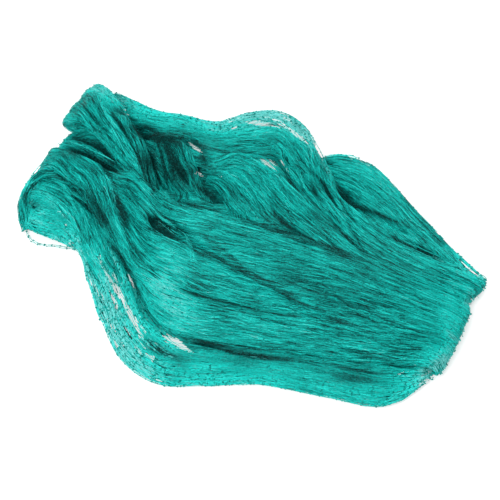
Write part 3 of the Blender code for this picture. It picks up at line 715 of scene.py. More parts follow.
# One row is one section across a loose pleat that lies over the bundle, in the slant plan: x, y of
# its right-hand edge, x, y of its left-hand edge, and how far it stands proud of what is under it.
PLEATS = {
    # the thin pleat between the two dark pockets on the left
    "thin_pleat": (
        (-286, 191, -279, 207, 0),
        (-262, 184, -254, 199, 5),
        (-240, 170, -230, 185, 6),
        (-218, 154, -208, 169, 6),
        (-196, 139, -186, 152, 4),
        (-176, 124, -168, 134, -2),
    ),
    # round the rim of the low left lobe and in over it
    "rim_loop": (
        (-320, 40, -333, 34, -2),
        (-323, 62, -337, 58, 3),
        (-325, 88, -340, 86, 5),
        (-320, 107, -335, 111, 6),
        (-311, 120, -325, 132, 6),
        (-300, 127, -309, 145, 5),
        (-284, 128, -291, 147, 3),
        (-268, 120, -270, 136, -2),
    ),
    # from inside that rim down over the left side
    "left_band": (
        (-326, 98, -303, 133, 0),
        (-302, 91, -274, 123, 5),
        (-281, 77, -251, 98, 7),
        (-261, 54, -233, 75, 7),
        (-247, 27, -219, 45, 6),
        (-238, -2, -205, 12, 5),
        (-226, -34, -189, -24, 3),
        (-210, -66, -170, -62, -2),
    ),
    # the big pleat from the upper left over the neck
    "neck_pleat": (
        (-310, 150, -294, 184, 0),
        (-284, 140, -264, 175, 6),
        (-259, 119, -240, 157, 8),
        (-239, 92, -215, 140, 9),
        (-223, 58, -200, 112, 9),
        (-209, 24, -188, 66, 8),
        (-190, -10, -170, 22, 6),
        (-164, -44, -146, -18, 3),
        (-128, -74, -112, -50, -2),
    ),
    # the far left lobe's broad pleat
    "lobe_band": (
        (-286, 246, -250, 308, 0),
        (-264, 240, -230, 282, 6),
        (-244, 225, -217, 252, 7),
        (-226, 203, -200, 229, 8),
        (-211, 179, -182, 204, 8),
        (-196, 155, -168, 176, 7),
        (-181, 134, -157, 146, 4),
        (-166, 116, -151, 122, -2),
    ),
    # the narrow pleat beside it
    "narrow_pleat": (
        (-207, 254, -196, 264, 2),
        (-199, 239, -187, 248, 6),
        (-186, 215, -175, 223, 7),
        (-174, 191, -164, 197, 7),
        (-165, 165, -156, 169, 6),
        (-159, 137, -150, 139, 4),
        (-153, 114, -146, 116, -2),
    ),
    # the fan that spreads from the dark corner
    "fan_1": (
        (-149, 208, -136, 210, 0),
        (-141, 182, -127, 186, 3),
        (-133, 152, -113, 158, 3),
        (-124, 122, -97, 128, 3),
        (-113, 96, -85, 102, 2),
        (-102, 76, -72, 80, -2),
    ),
    "fan_2": (
        (-133, 209, -116, 211, 0),
        (-120, 187, -98, 194, 5),
        (-107, 161, -84, 169, 6),
        (-95, 134, -76, 140, 6),
        (-84, 108, -67, 112, 5),
        (-72, 84, -54, 84, -1),
    ),
    "fan_3": (
        (-67, 120, -62, 132, 0),
        (-53, 115, -42, 128, 5),
        (-43, 98, -23, 113, 6),
        (-36, 78, -10, 89, 5),
        (-27, 61, 4, 67, 3),
        (-14, 46, 20, 46, -2),
    ),
    "fan_4": (
        (-50, 134, -24, 151, 0),
        (-35, 121, -2, 141, 4),
        (-17, 99, 20, 119, 5),
        (-2, 77, 38, 92, 4),
        (15, 55, 54, 67, 3),
        (36, 36, 76, 41, -2),
    ),
    "fan_5": (
        (-80, 160, -62, 172, 0),
        (-54, 148, -42, 169, 5),
        (-28, 150, -16, 179, 6),
        (-4, 141, 16, 168, 7),
        (21, 117, 45, 140, 6),
        (40, 89, 70, 107, 5),
        (58, 61, 94, 77, 4),
        (82, 36, 122, 48, 3),
        (120, 8, 158, 14, -2),
    ),
    # the pleats that come down from the back
    "back_pleat_1": (
        (26, 184, 46, 200, 0),
        (44, 164, 66, 181, 4),
        (54, 140, 80, 153, 5),
        (66, 112, 92, 124, 5),
        (80, 88, 108, 98, 4),
        (106, 58, 132, 68, -2),
    ),
    "back_pleat_2": (
        (54, 200, 80, 216, 0),
        (70, 176, 95, 191, 4),
        (84, 146, 105, 161, 5),
        (98, 116, 115, 129, 5),
        (112, 90, 127, 99, 4),
        (134, 62, 147, 70, -2),
    ),
}

# Where a run is a single sheer layer and pale: from one table row to another, over a width in from
# one of its edges, how sheer it is there and what share of it is missing.
SHEER_PLACES = (
    ("outer", 4.4, 10.4, "near", 150, 1.0, 0.10),
    ("outer", 2.2, 5.0, "near", 60, 0.70, 0.0),
    ("outer", -0.5, 2.6, "near", 60, 0.4, 0.0),
    ("outer", -0.5, 1.4, "near", 34, 0.6, 0.10),
    ("outer", 9.4, 13.5, "near", 90, 0.40, 0.05),
    ("front", 4.0, 6.4, "near", 24, 0.75, 0.15),
    ("front", 4.2, 6.6, "near", 170, 0.45, 0.0),
    ("front", 16.0, 18.5, "near", 34, 0.5, 0.02),
    ("back", 4.6, 10.8, "far", 85, 0.82, 0.05),
    ("back", 5.4, 10.2, "far", 24, 1.0, 0.55),
    ("back", 9.5, 14.5, "far", 60, 0.6, 0.08),
    ("back", -0.5, 3.0, "far", 18, 0.9, 0.45),
    ("right", -0.5, 7.0, "far", 16, 0.9, 0.30),
    ("right", -0.5, 1.6, "far", 34, 0.8, 0.35),
    ("upper_lobe", 3.0, 6.5, "far", 40, 0.6, 0.10),
    ("middle_lobe", 2.0, 4.5, "near", 14, 0.6, 0.15),
)

# Fold ends, where the knots of many layers lie side by side: from one table row to another.
KNOTTY_PLACES = (
    ("front", 3.8, 5.8),
    ("front", 16.4, 18.5),
    ("outer", 11.0, 13.5),
    ("outer", -0.5, 1.0),
    ("upper_lobe", 4.0, 6.5),
    ("middle_lobe", 2.4, 4.5),
    ("back", -0.5, 1.8),
    ("back", 12.5, 14.5),
    ("right", -0.5, 1.6),
)

# The middle line of the loose edge twines, which slip out of the outer run and lie on the floor.
LOOSE_LOOP = (
    (-228, 16, 12),
    (-250, 20, 3),
    (-280, 26, 2),
    (-304, 29, 2),
    (-320, 38, 2),
    (-327, 54, 5),
    (-320, 84, 14),
)

# Single twines that run free over an edge by a route of their own: x and y on the slant plan, z.
STRANDS = (
    (
        (-52, 239, 18), (-33, 251, 18), (0, 260, 17), (36, 263, 16),
        (66, 250, 16), (84, 230, 15), (98, 196, 14),
    ),
    (
        (-40, 243, 20), (-14, 251, 20), (14, 254, 20), (40, 255, 19),
        (60, 248, 18), (76, 234, 17), (90, 208, 16),
    ),
    ((-24, 240, 22), (0, 246, 22), (24, 248, 22), (50, 241, 20), (70, 226, 18), (84, 206, 17)),
    ((20, 250, 18), (46, 254, 18), (70, 243, 17), (86, 222, 16), (96, 200, 15)),
    (
        (-342, 96, 12), (-337, 118, 14), (-328, 140, 16),
        (-316, 158, 18), (-306, 174, 20), (-300, 188, 22),
    ),
    (
        (-340, 108, 14), (-330, 132, 16), (-320, 152, 20),
        (-307, 166, 22), (-302, 182, 22), (-291, 202, 22),
    ),
    ((-334, 120, 18), (-322, 146, 22), (-314, 160, 24), (-304, 178, 24), (-294, 192, 24)),
    ((-286, 236, 18), (-285, 252, 18), (-280, 268, 18), (-270, 286, 18)),
    ((-283, 232, 18), (-272, 229, 20), (-262, 226, 22), (-252, 222, 24)),
    ((-240, 310, 18), (-216, 298, 16), (-190, 284, 14), (-160, 268, 14), (-136, 259, 14)),
    ((-226, 306, 20), (-204, 292, 18), (-176, 276, 16), (-150, 262, 16)),
    ((288, -44, 12), (298, -56, 12), (310, -68, 12), (320, -82, 12)),
    ((276, -30, 14), (292, -46, 14), (306, -60, 14), (318, -76, 14)),
)

# Single twines that run free beside an edge: run, from row, to row, edge, how far out, how high.
FREE_TWINES = (
    ("back", 5.4, 8.6, "far", 3.0, 3),
    ("back", 6.6, 10.4, "far", 4.5, 2),
    ("back", 7.6, 9.6, "far", 2.0, 6),
    ("back", 8.8, 11.6, "far", 2.0, 4),
    ("back", 10.6, 14.0, "far", 1.8, 5),
    ("right", 0.0, 3.0, "far", 2.0, 3),
    ("right", 0.4, 4.6, "far", 1.2, 5),
    ("back", 0.0, 2.6, "far", 2.5, 3),
    ("outer", 9.6, 13.0, "near", 1.6, 3),
    ("outer", 4.4, 8.0, "near", 1.4, 1),
    ("outer", 0.6, 4.0, "near", 1.6, 1),
    ("front", 15.0, 17.6, "near", 1.5, 2),
    ("front", 4.0, 6.0, "near", 2.0, 1),
)


def in_metres(name, description, default):
    """A setting in metres."""
    return bpy.props.FloatProperty(
        name=name, description=description, default=default, unit="LENGTH"
    )


def a_colour(name, description, default):
    """A setting with a colour."""
    return bpy.props.FloatVectorProperty(
        name=name,
        description=description,
        default=default,
        subtype="COLOR",
        size=4,
        min=0.0,
        max=1.0,
    )


class StageSettings(bpy.types.PropertyGroup):
    """Floor, lights and camera"""

    floor_colour: a_colour("Floor Colour", "Colour of the plain floor", (0.56, 0.56, 0.56, 1.0))
    floor_size: in_metres("Floor Size", "Side of the square floor", 6.0)
    sky_strength: bpy.props.FloatProperty(
        name="Sky Strength",
        description="How bright the even white surroundings are",
        default=0.60,
    )
    key_power: bpy.props.FloatProperty(
        name="Key Power",
        description="Power of the large soft light in front, at the left",
        default=42.0,
        unit="POWER",
    )
    camera_distance: in_metres(
        "Camera Distance", "Distance from the camera to the bundle's middle", 1.6
    )
    camera_elevation: bpy.props.FloatProperty(
        name="Camera Elevation",
        description="Angle from which the camera looks down",
        default=math.radians(55),
        subtype="ANGLE",
    )


class SheetSettings(bpy.types.PropertyGroup):
    """The sheets of packed twines"""

    cell_width: in_metres(
        "Cell Width", "Width of the sheet's mesh cells, across the twines", 0.0022
    )
    pleat_pitch: in_metres(
        "Fine Pleat Pitch", "Mean width of the small bundles in which the twines gather", 0.0085
    )
    pleat_height: in_metres(
        "Fine Pleat Height", "Height of the small bundles over the creases between them", 0.0030
    )
    colour: a_colour("Twine Green", "Main colour of the twines", (0.004, 0.400, 0.350, 1.0))
    # Deep Green: the knots' own colour, and the base of the painted shade in the creases
    deep_colour: a_colour(
        "Deep Green", "Colour in the creases and of the knots", (0.0008, 0.060, 0.054, 1.0)
    )


class TwineSettings(bpy.types.PropertyGroup):
    """The single twines and their knots"""

    thickness: in_metres("Twine Thickness", "Thickness of a twine", 0.0005)
    pitch: in_metres("Twine Pitch", "Distance between the twines of one layer", 0.0018)
    layers: bpy.props.IntProperty(
        name="Layers",
        description="How many layers of twines lie over each sheet",
        default=5,
    )
    knot_spacing: in_metres("Knot Spacing", "Distance between the knots along a twine", 0.015)
    knot_size: in_metres("Knot Size", "Thickness of a knot", 0.0025)


def cad_points(points):
    """Table points in millimetres as points of the frame, in metres."""
    return (np.asarray(points, float) - TABLE_MIDDLE) * MM


def slid(height):
    """How far the slant slides a plan point at this height, in millimetres."""
    return SLANT * (height - SLANT_LEVEL)


def unit(vectors):
    """The vectors, each with a length of 1."""
    return vectors / np.maximum(np.linalg.norm(vectors, axis=-1), 1e-12)[..., None]


def eased_rows(rows, steps):
    """The rows of a table with steps - 1 more between each pair, on a Catmull-Rom curve."""
    table = np.array(rows, float)
    padded = np.vstack([2 * table[0] - table[1], table, 2 * table[-1] - table[-2]])
    found = []
    for i in range(len(table) - 1):
        before, start, end, after = padded[i : i + 4]
        for t in np.arange(steps) / steps:
            bend = 2 * before - 5 * start + 4 * end - after
            turn = 3 * start - before - 3 * end + after
            found.append(start + (end - before) * t / 2 + bend * t**2 / 2 + turn * t**3 / 2)
    found.append(table[-1])
    return np.array(found)


def arc_points(row, t):
    """Points at shares t of the arc through the three plan points that a row starts with."""
    start, bend, end = np.reshape(row[:6], (3, 2))
    return start * (1 - t) * (1 - 2 * t) + bend * 4 * t * (1 - t) + end * t * (2 * t - 1)


def near_arc(plan, arc, end_share, power):
    """How far plan points are from an arc, and how much of it is left there towards its ends."""
    apart = np.linalg.norm(plan[..., None, :] - arc, axis=-1)
    along = np.clip(ARC_STEPS[apart.argmin(axis=-1), 0], end_share, 1 - end_share)
    return apart.min(axis=-1), np.sin(math.pi * along) ** power


def fold_rise(points):
    """How far the ridges and troughs lift the surface at these points."""
    rise = np.zeros(points.shape[:-1])
    for row in FOLDS:
        apart, fade = near_arc(points[..., :2], arc_points(row, ARC_STEPS), 0.03, 0.6)
        rise += row[7] * fade * np.exp(-((apart / row[6]) ** 2))
    return rise


def hand_strokes(points, normals):
    """How deep the creases sink these points, in metres, and their painted shade and light."""
    drop, shade = np.zeros(points.shape[:-1]), np.zeros(points.shape[:-1])
    table = points / MM + TABLE_MIDDLE
    plan = np.stack([table[..., 0], table[..., 1] + slid(table[..., 2])], axis=-1)
    facing = np.clip(2.5 * normals[..., 2] + 0.5, 0, 1)
    for row in STROKES:
        half_width, depth, dark = row[6:]
        arc = arc_points(row, ARC_STEPS)
        margin = STROKE_REACH * half_width
        low, high = arc.min(axis=0) - margin, arc.max(axis=0) + margin
        close = ((plan > low) & (plan < high)).all(axis=-1)
        if not close.any():
            continue
        apart, fade = near_arc(plan[close], arc, 0.04, 0.7)
        weight = fade * np.exp(-((apart / half_width) ** 2))
        core = fade * np.exp(-((apart / (STROKE_CORE * half_width)) ** 2))
        sunk = depth * weight * facing[close]
        drop[close] = np.maximum(drop[close], sunk) if depth > 0 else drop[close] + sunk
        shade[close] += dark * (STROKE_SHADE * weight + CORE_SHADE * core)
    return drop * MM, np.clip(shade, -1, 1)


def sunk_points(points, normals, room, lift):
    """A run's points lifted and sunk in creases, the same not sunk, and their painted shade and
    light.
    """
    drop, shade = hand_strokes(points, normals)
    drop = np.minimum(drop, SINKABLE * room)
    flat = (points + normals * lift[..., None]).reshape(-1, 3)
    sunk = points + normals * (lift - drop)[..., None]
    sunk[..., 2] = np.maximum(sunk[..., 2], LOWEST)
    return sunk, flat, shade


def ring_section(upper, lower):
    """Rings of points round a band, with each point's place across it, 1 on its upper side and
    how thick the band is there.
    """
    rings = np.concatenate([upper, lower[:, -2:0:-1]], axis=1)
    place = np.concatenate([ACROSS, ACROSS[-2:0:-1]])
    on_top = np.concatenate([np.ones(POINTS_ACROSS), np.zeros(POINTS_ACROSS - 2)])
    room = np.linalg.norm(upper - lower, axis=2)
    return rings, place, on_top, np.concatenate([room, room[:, -2:0:-1]], axis=1)


def band_rings(rows, steps):
    """The section of a run from its table."""
    eased = eased_rows(rows, steps)
    far, near = eased[:, 0:3], eased[:, 3:6]
    thick, arch = eased[:, 6], eased[:, 7]
    normal = unit(np.cross(np.gradient((far + near) / 2, axis=0), near - far))
    middle = far[:, None] + (near - far)[:, None] * ACROSS[None, :, None]
    middle = middle + normal[:, None] * (arch[:, None] * 4 * ACROSS * (1 - ACROSS))[..., None]
    loft = normal[:, None] * (thick[:, None] / 2 * BULGE)[..., None]
    upper, lower = middle + loft, middle - loft
    width = np.linalg.norm(near - far, axis=1).mean()
    pleats = np.cos(2 * math.pi * round(width / PLEAT_PITCH) * ACROSS) * BULGE
    facing_up = np.clip(normal[:, None, 2], 0, 1)
    rise = np.maximum(fold_rise(upper), -DEEPEST_FOLD * thick[:, None]) * BULGE
    upper[..., 2] += (rise + PLEAT_HEIGHT * pleats) * facing_up
    return ring_section(upper, lower)


def spot_below(tree, x, y):
    """Where a ray down the slant through a point of the slant plan meets a surface, or None."""
    start = cad_points((x, y - slid(RAY_TOP), RAY_TOP))
    return tree.ray_cast(Vector(start), Vector((0, SLANT, -1)).normalized())[0]


def laid_rings(rows, steps):
    """The section of a loose pleat from its table, laid on the solid."""
    eased = eased_rows(rows, steps)
    right, left, loft = eased[:, 0:2], eased[:, 2:4], eased[:, 4]
    plan = right[:, None] + (left - right)[:, None] * ACROSS[None, :, None]
    level = np.full(plan.shape[:2], np.nan)
    for i, row in enumerate(plan):
        for j, (x, y) in enumerate(row):
            found = spot_below(solid_tree(), x, y)
            if found:
                level[i, j] = found.z / MM
        known = np.nonzero(~np.isnan(level[i]))[0]
        nearest = known[np.abs(np.arange(len(row))[:, None] - known).argmin(axis=1)]
        fallen = np.linalg.norm(row - row[nearest], axis=1)
        level[i] = np.maximum(level[i][nearest] - STEEPEST_FALL * fallen, LOWEST_FALL)
    smooth = level
    for _ in range(SMOOTHINGS):
        padded = np.pad(smooth, 1, mode="edge")
        smooth = (padded[:-2, 1:-1] + padded[2:, 1:-1] + padded[1:-1, :-2] + padded[1:-1, 2:]) / 4
    level = np.maximum(smooth, 0.5 * smooth + 0.5 * level)
    base = np.stack([plan[..., 0], plan[..., 1] - slid(level), level], axis=-1)
    normal = unit(np.cross(np.gradient(base, axis=0), np.gradient(base, axis=1)))
    rise = loft[:, None] * BULGE - PLEAT_UNDER * (1 - BULGE)
    return ring_section(base + normal * rise[..., None], base - normal * (PLEAT_UNDER + 1))


def blended(grid, i, j, k, x, y):
    """A grid's values between its rows i and i + 1 and its columns j and k."""
    low = grid[i, j] * (1 - y) + grid[i, k] * y
    high = grid[i + 1, j] * (1 - y) + grid[i + 1, k] * y
    return low * (1 - x) + high * x


def soft_noise(along, around, cells, seed):
    """Smooth noise from -1 to 1. It is cells long round the section and closes on itself."""
    rng = np.random.default_rng(seed)
    first = np.floor(along).astype(int)
    lattice = rng.uniform(-1, 1, (int(first.max() - first.min()) + 2, max(int(cells), 1)))
    x = along - first
    place = np.mod(around, 1.0) * lattice.shape[1]
    j = np.floor(place).astype(int)
    y = place - j
    x, y = x * x * (3 - 2 * x), y * y * (3 - 2 * y)
    j, k = j % lattice.shape[1], (j + 1) % lattice.shape[1]
    return blended(lattice, first - first.min(), j, k, x, y)


def even_share(values):
    """The values replaced by their rank, from 0 to 1, so that a threshold cuts off that share."""
    order = values.ravel().argsort().argsort()
    return (order / max(order.size - 1, 1)).reshape(values.shape)


class Run:
    """One run of the net: a grid of points along it and once round its section."""

    def __init__(self, name, section, steps_per_row, cell, seed, loose=False):
        self.name, self.seed, self.loose = name, seed, loose
        rings, place, on_top, room = section
        columns = [*np.moveaxis(rings, 2, 0), *np.broadcast_arrays(place, on_top, room)]
        closed = np.stack([np.append(column, column[:, :1], axis=1) for column in columns])
        steps = np.linalg.norm(np.diff(closed[:3], axis=2), axis=0)
        lengths = np.concatenate([np.zeros((len(rings), 1)), steps.cumsum(axis=1)], axis=1)
        self.girth = (lengths[:, -1] * MM).mean()
        self.count = int(round(self.girth / cell))
        self.around = np.arange(self.count) / self.count
        x, y, z, self.across, self.top, thickness = np.array(
            [
                [np.interp(self.around * at[-1], at, ring) for at, ring in zip(lengths, column)]
                for column in closed
            ]
        )
        self.points = cad_points(np.stack([x, y, z], axis=-1))
        self.room = thickness * MM
        middle = self.points.mean(axis=1)
        self.along = np.append(0, np.linalg.norm(np.diff(middle, axis=0), axis=1).cumsum())
        self.rows = np.arange(len(self.along)) / steps_per_row
        self.width = np.linalg.norm(self.points[:, 0] - self.points[:, self.count // 2], axis=1)
        forward = np.gradient(self.points, axis=0)
        forward[1:-1] += forward[:-2] + forward[2:]
        sideways = np.roll(self.points, -1, axis=1) - np.roll(self.points, 1, axis=1)
        self.normals = unit(np.cross(forward, sideways))

    def sample(self, grid, along, around):
        """A grid's values at distances along the run and at shares of the way round it."""
        row = np.interp(along, self.along, np.arange(len(self.along)))
        i = np.minimum(row.astype(int), len(self.along) - 2)
        place = np.mod(around, 1.0) * self.count
        j = place.astype(int) % self.count
        x, y = row - i, place - np.floor(place)
        if grid.ndim == 3:
            x, y = x[..., None], y[..., None]
        return blended(grid, i, j, (j + 1) % self.count, x, y)

    def noise(self, along, around, long, wide, seed):
        """Smooth noise from -1 to 1 in patches so long and so wide, in metres."""
        return soft_noise(along / long, around, self.girth / wide, self.seed + seed)

    def wander(self, along, around):
        """How far the twines have strayed sideways, as a share of the way round."""
        strayed = 0
        for seed, (long, wide, far) in enumerate(STRAYS):
            strayed = strayed + far * self.noise(along, around, long, wide, seed)
        return strayed / self.girth

    def bundles(self, along, around, pitch):
        """Height of the small bundles, up to 1: from 0 in a crease, or LOOSE_BUNDLES if loose."""
        strayed = around - self.wander(along, around)
        height = 0
        for seed, (long, wide, share, power) in enumerate(RIPPLES, len(STRAYS)):
            ripple = np.abs(self.noise(along, strayed, long, wide * pitch, seed))
            height = height + share * ripple**power
        height = np.clip(height / 0.85, 0, 1)
        return LOOSE_BUNDLES + (1 - LOOSE_BUNDLES) * height if self.loose else height

    def openness(self, along, around):
        """How sheer the run is at a place, and what share of it is missing there."""
        rows = np.interp(along, self.along, self.rows)
        across = self.sample(self.across, along, around)
        width = np.interp(along, self.along, self.width) / MM
        sheer, missing = np.zeros(rows.shape), np.zeros(rows.shape)
        for name, start, end, edge, reach, paleness, openness in SHEER_PLACES:
            if name != self.name:
                continue
            inward = (across if edge == "far" else 1 - across) * width
            lengthwise = np.clip(np.minimum(rows - start, end - rows) / 0.6, 0, 1)
            sideways = np.clip(1.6 * (1 - inward / reach), 0, 1)
            sheer = np.maximum(sheer, paleness * lengthwise * sideways)
            missing = np.maximum(missing, openness * lengthwise * sideways)
        patchy = self.noise(along, around, 0.030, 0.012, 8)
        return sheer, missing * np.clip(0.5 + 2.0 * patchy, 0, 2.4)

    def knotty(self, along):
        """How closely the knots crowd at a fold end, from 0 to 1."""
        rows = np.interp(along, self.along, self.rows)
        found = np.zeros(rows.shape)
        for name, start, end in KNOTTY_PLACES:
            if name == self.name:
                crowd = np.minimum(rows - start, end - rows) / 0.5
                found = np.maximum(found, np.clip(crowd, 0, 1))
        return found

    def streaks(self, along, around):
        """The tone that the twines of all layers share at one place, in long narrow streaks."""
        strayed = around - self.wander(along, around)
        lean = STREAK_LEAN * along / self.girth
        one = self.noise(along, strayed + lean, 0.022, 0.0008, 60)
        other = self.noise(along, strayed - lean, 0.022, 0.0008, 62)
        wide = self.noise(along, strayed, 0.070, 0.0040, 61)
        return BASE_TONE + STREAK_TONE * (one + other) + WIDE_TONE * wide


def runs():
    """The runs of the net and the loose pleats over them, made once."""
    if "runs" not in STATE:
        cell = bpy.context.scene.netting_sheets.cell_width
        made = {}
        for i, (name, rows) in enumerate(RUNS.items()):
            narrower, shorter = FINER.get(name, (1.0, 1.0))
            steps = int(SECTIONS_PER_ROW * shorter)
            made[name] = Run(name, band_rings(rows, steps), steps, cell / narrower, 100 * (i + 1))
        for i, (name, rows) in enumerate(PLEATS.items()):
            section = laid_rings(rows, PLEAT_STEPS)
            made[name] = Run(name, section, PLEAT_STEPS, cell * 0.9, 2000 + 100 * i, loose=True)
        STATE["runs"] = made
    return STATE["runs"]


def in_gaps(points, wider=0.0):
    """Which points lie in one of the gaps, seen from above, or in a slot, seen on the slant."""
    plan = points[..., :2] / MM + TABLE_MIDDLE[:2]
    slant = plan + np.stack([0 * points[..., 2], slid(points[..., 2] / MM)], axis=-1)
    inside = np.zeros(plan.shape[:-1], bool)
    for seen, rows in ((plan, GAPS), (slant, SLOTS)):
        for x0, y0, x1, y1, width in rows:
            start, span = np.array((x0, y0)), np.array((x1 - x0, y1 - y0))
            reach = np.linalg.norm(span)
            t = ((seen - start) @ span) / reach**2
            side = np.array((-span[1], span[0])) / reach
            apart = np.abs((seen - start) @ side)
            half = (width + wider) / 2 * np.sin(math.pi * np.clip(t, 0, 1))
            inside |= (t > 0) & (t < 1) & (apart < half)
    return inside


def search_tree(items):
    """A search tree of the meshes of some objects, all of which lie at the origin."""
    points, faces = [], []
    for item in items:
        start = len(points)
        points.extend(vertex.co[:] for vertex in item.data.vertices)
        faces.extend([start + v for v in face.vertices] for face in item.data.polygons)
    return BVHTree.FromPolygons(points, faces)


def solid_tree():
    """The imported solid's search tree, made once."""
    if "solid" not in STATE:
        STATE["solid"] = search_tree([bpy.data.objects[NODE]])
    return STATE["solid"]


def depth_inside(tree, points):
    """How deep each point lies under the solid's surface, over 0 inside it."""
    depth = np.empty(len(points))
    for i, point in enumerate(points):
        found, normal, _, _ = tree.find_nearest(point)
        away = Vector(point) - found
        depth[i] = -math.copysign(away.length, away.dot(normal))
    return depth


def new_object(name, mesh):
    """An object at the origin."""
    made = bpy.data.objects.new(name, mesh)
    bpy.context.scene.collection.objects.link(made)
    return made


def mesh_object(name, vertices, edges, faces):
    """A mesh object at the origin from plain lists."""
    mesh = bpy.data.meshes.new(name)
    mesh.from_pydata(vertices, edges, faces)
    return new_object(name, mesh)


def finish_piece(piece):
    """Makes a finished piece ride on the net's body, in the place of its plain solid."""
    piece.data.polygons.foreach_set("use_smooth", [True] * len(piece.data.polygons))
    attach(piece, "root")
    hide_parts(NODE)


def add_node(tree, kind, *inputs, **values):
    """A node with its inputs given in order or by name, and its own settings by keyword.

    A socket of another node is linked to the input, and anything else is its value.
    """
    node = tree.nodes.new(kind)
    for key, value in (*values.items(), *enumerate(inputs)):
        if isinstance(key, str) and key not in node.inputs:
            setattr(node, key, value)
        elif isinstance(value, bpy.types.NodeSocket):
            tree.links.new(value, node.inputs[key])
        else:
            node.inputs[key].default_value = value
    return node


def worked_out(tree, operation, *inputs):
    """The result of a calculation."""
    return add_node(tree, "ShaderNodeMath", *inputs, operation=operation).outputs[0]


def attribute(tree, name):
    """The number that a mesh attribute holds."""
    return add_node(tree, "ShaderNodeAttribute", attribute_name=name).outputs["Fac"]


def grain(tree, scale, **values):
    """A noise in the space of the object."""
    where = add_node(tree, "ShaderNodeTexCoord").outputs["Object"]
    return add_node(tree, "ShaderNodeTexNoise", Vector=where, Scale=scale, **values).outputs["Fac"]


def colour_ramp(tree, value, *stops):
    """A colour that goes with a value, through these places and colours."""
    ramp = add_node(tree, "ShaderNodeValToRGB", value)
    steps = ramp.color_ramp.elements
    while len(steps) < len(stops):
        steps.new(0.5)
    for step, (place, shade) in zip(steps, stops):
        step.position = place
        step.color = shade
    return ramp.outputs["Color"]


def blend(tree, share, first, second):
    """One colour laid over another."""
    node = add_node(tree, "ShaderNodeMix", data_type="RGBA", Factor=share, A=first, B=second)
    return node.outputs["Result"]


def mixed(shade, other, share):
    """A colour between two."""
    return [a + (b - a) * share for a, b in zip(shade, other)]


def plain_material(name, roughness, shine):
    """A new material, its node tree and its shader."""
    material = bpy.data.materials.new(name)
    material.use_nodes = True
    shader = material.node_tree.nodes["Principled BSDF"]
    shader.inputs["Roughness"].default_value = roughness
    shader.inputs["Specular IOR Level"].default_value = shine
    return material, material.node_tree, shader


def packed_material(settings):
    """Twines packed side by side: long fine streaks, painted shade in the creases, the pale sheer
    film with painted light where the strokes lighten, and small darker knots.
    """
    material, tree, shader = plain_material("packed_twines", 0.46, 0.04)
    link = tree.links.new
    green, deep = settings.colour[:], settings.deep_colour[:]
    light = mixed(green, BRIGHT_GREEN, 0.30)
    place = add_node(tree, "ShaderNodeUVMap", uv_map="along_twines").outputs["UV"]

    def stretched(kind, scale, **values):
        """A flat texture with a scale along the twines and one across them."""
        spread = add_node(tree, "ShaderNodeMapping", Vector=place, Scale=scale).outputs["Vector"]
        return add_node(tree, kind, **values, Vector=spread, Scale=1.0).outputs[0]

    fine = stretched(
        "ShaderNodeTexNoise", FINE_STREAKS, noise_dimensions="2D", Detail=4.0, Roughness=0.62
    )
    wide = stretched("ShaderNodeTexNoise", WIDE_STREAKS, noise_dimensions="2D", Detail=2.0)
    streaks = worked_out(tree, "MULTIPLY_ADD", fine, 0.6, worked_out(tree, "MULTIPLY", wide, 0.4))
    body = colour_ramp(
        tree,
        streaks,
        (0.34, mixed(deep, DARKEST_GREEN, 0.4)),
        (0.46, mixed(deep, green, 0.30)),
        (0.56, mixed(deep, green, 0.85)),
        (0.72, mixed(light, LIT_GREEN, 0.15)),
    )
    # painted shade: the crease attribute darkens the creases towards a near-black green
    crease_shaded = blend(tree, attribute(tree, "crease"), body, mixed(deep, BLACK, 0.22))
    film = colour_ramp(
        tree,
        grain(tree, 170.0, Detail=3.0, Roughness=0.65),
        (0.30, mixed(deep, green, 0.70)),
        *zip((0.44, 0.57, 0.70), FILM),
    )
    # the light attribute: the pale film where the run is sheer, and painted light where the
    # strokes lighten
    sheer = attribute(tree, "light")
    lit = blend(tree, sheer, crease_shaded, film)
    cells = stretched("ShaderNodeTexVoronoi", KNOT_CELLS, voronoi_dimensions="2D")
    spots = colour_ramp(tree, cells, (0.16, WHITE), (0.34, BLACK))
    strength = worked_out(tree, "MULTIPLY_ADD", sheer, 0.85, 0.15)
    spotted = worked_out(tree, "MULTIPLY", spots, strength)
    link(blend(tree, spotted, lit, mixed(deep, green, 0.25)), shader.inputs["Base Color"])
    bump = add_node(tree, "ShaderNodeBump", Strength=0.8, Distance=0.0012, Height=streaks)
    link(bump.outputs["Normal"], shader.inputs["Normal"])
    return material


def twine_material(settings):
    """One fine plastic twine: own tone, small changes along it, painted shade and painted light.
    """
    material, tree, shader = plain_material("fine_twine", 0.38, 0.05)
    green, deep = settings.colour[:], settings.deep_colour[:]
    base = worked_out(tree, "SUBTRACT", attribute(tree, "tone"), 0.15)
    # The lowest tones are mostly painted shade: from the strokes, and the dark twines of painted
    # shadow.
    tone = colour_ramp(
        tree,
        worked_out(tree, "MULTIPLY_ADD", grain(tree, 420.0, Detail=0.0), 0.3, base),
        (0.0, mixed(deep, BLACK, 0.65)),
        (0.08, mixed(deep, green, 0.06)),
        (0.30, mixed(deep, green, 0.72)),
        (0.58, mixed(green, TWINE_GREEN, 0.24)),
        *zip((0.78, 0.90, 1.0), PALE_TWINES),
    )
    tree.links.new(tone, shader.inputs["Base Color"])
    return material


def knot_material(settings):
    """A knot: darker than the twines, and not every knot as dark."""
    material, tree, shader = plain_material("twine_knot", 0.5, 0.1)
    green, deep = settings.colour[:], settings.deep_colour[:]
    dark, pale = mixed(deep, green, 0.42), mixed(deep, green, 0.85)
    tone = colour_ramp(tree, grain(tree, 90.0, Detail=2.0), (0.38, dark), (0.62, pale))
    tree.links.new(tone, shader.inputs["Base Color"])
    return material


def twine_inputs(settings):
    """The inputs of the twines' node group."""
    return {
        "Twine Thickness": settings.thickness,
        "Knot Size": settings.knot_size,
        "Sides": 5,
        "Seed": 7,
        "Lies On Sheet": True,
    }


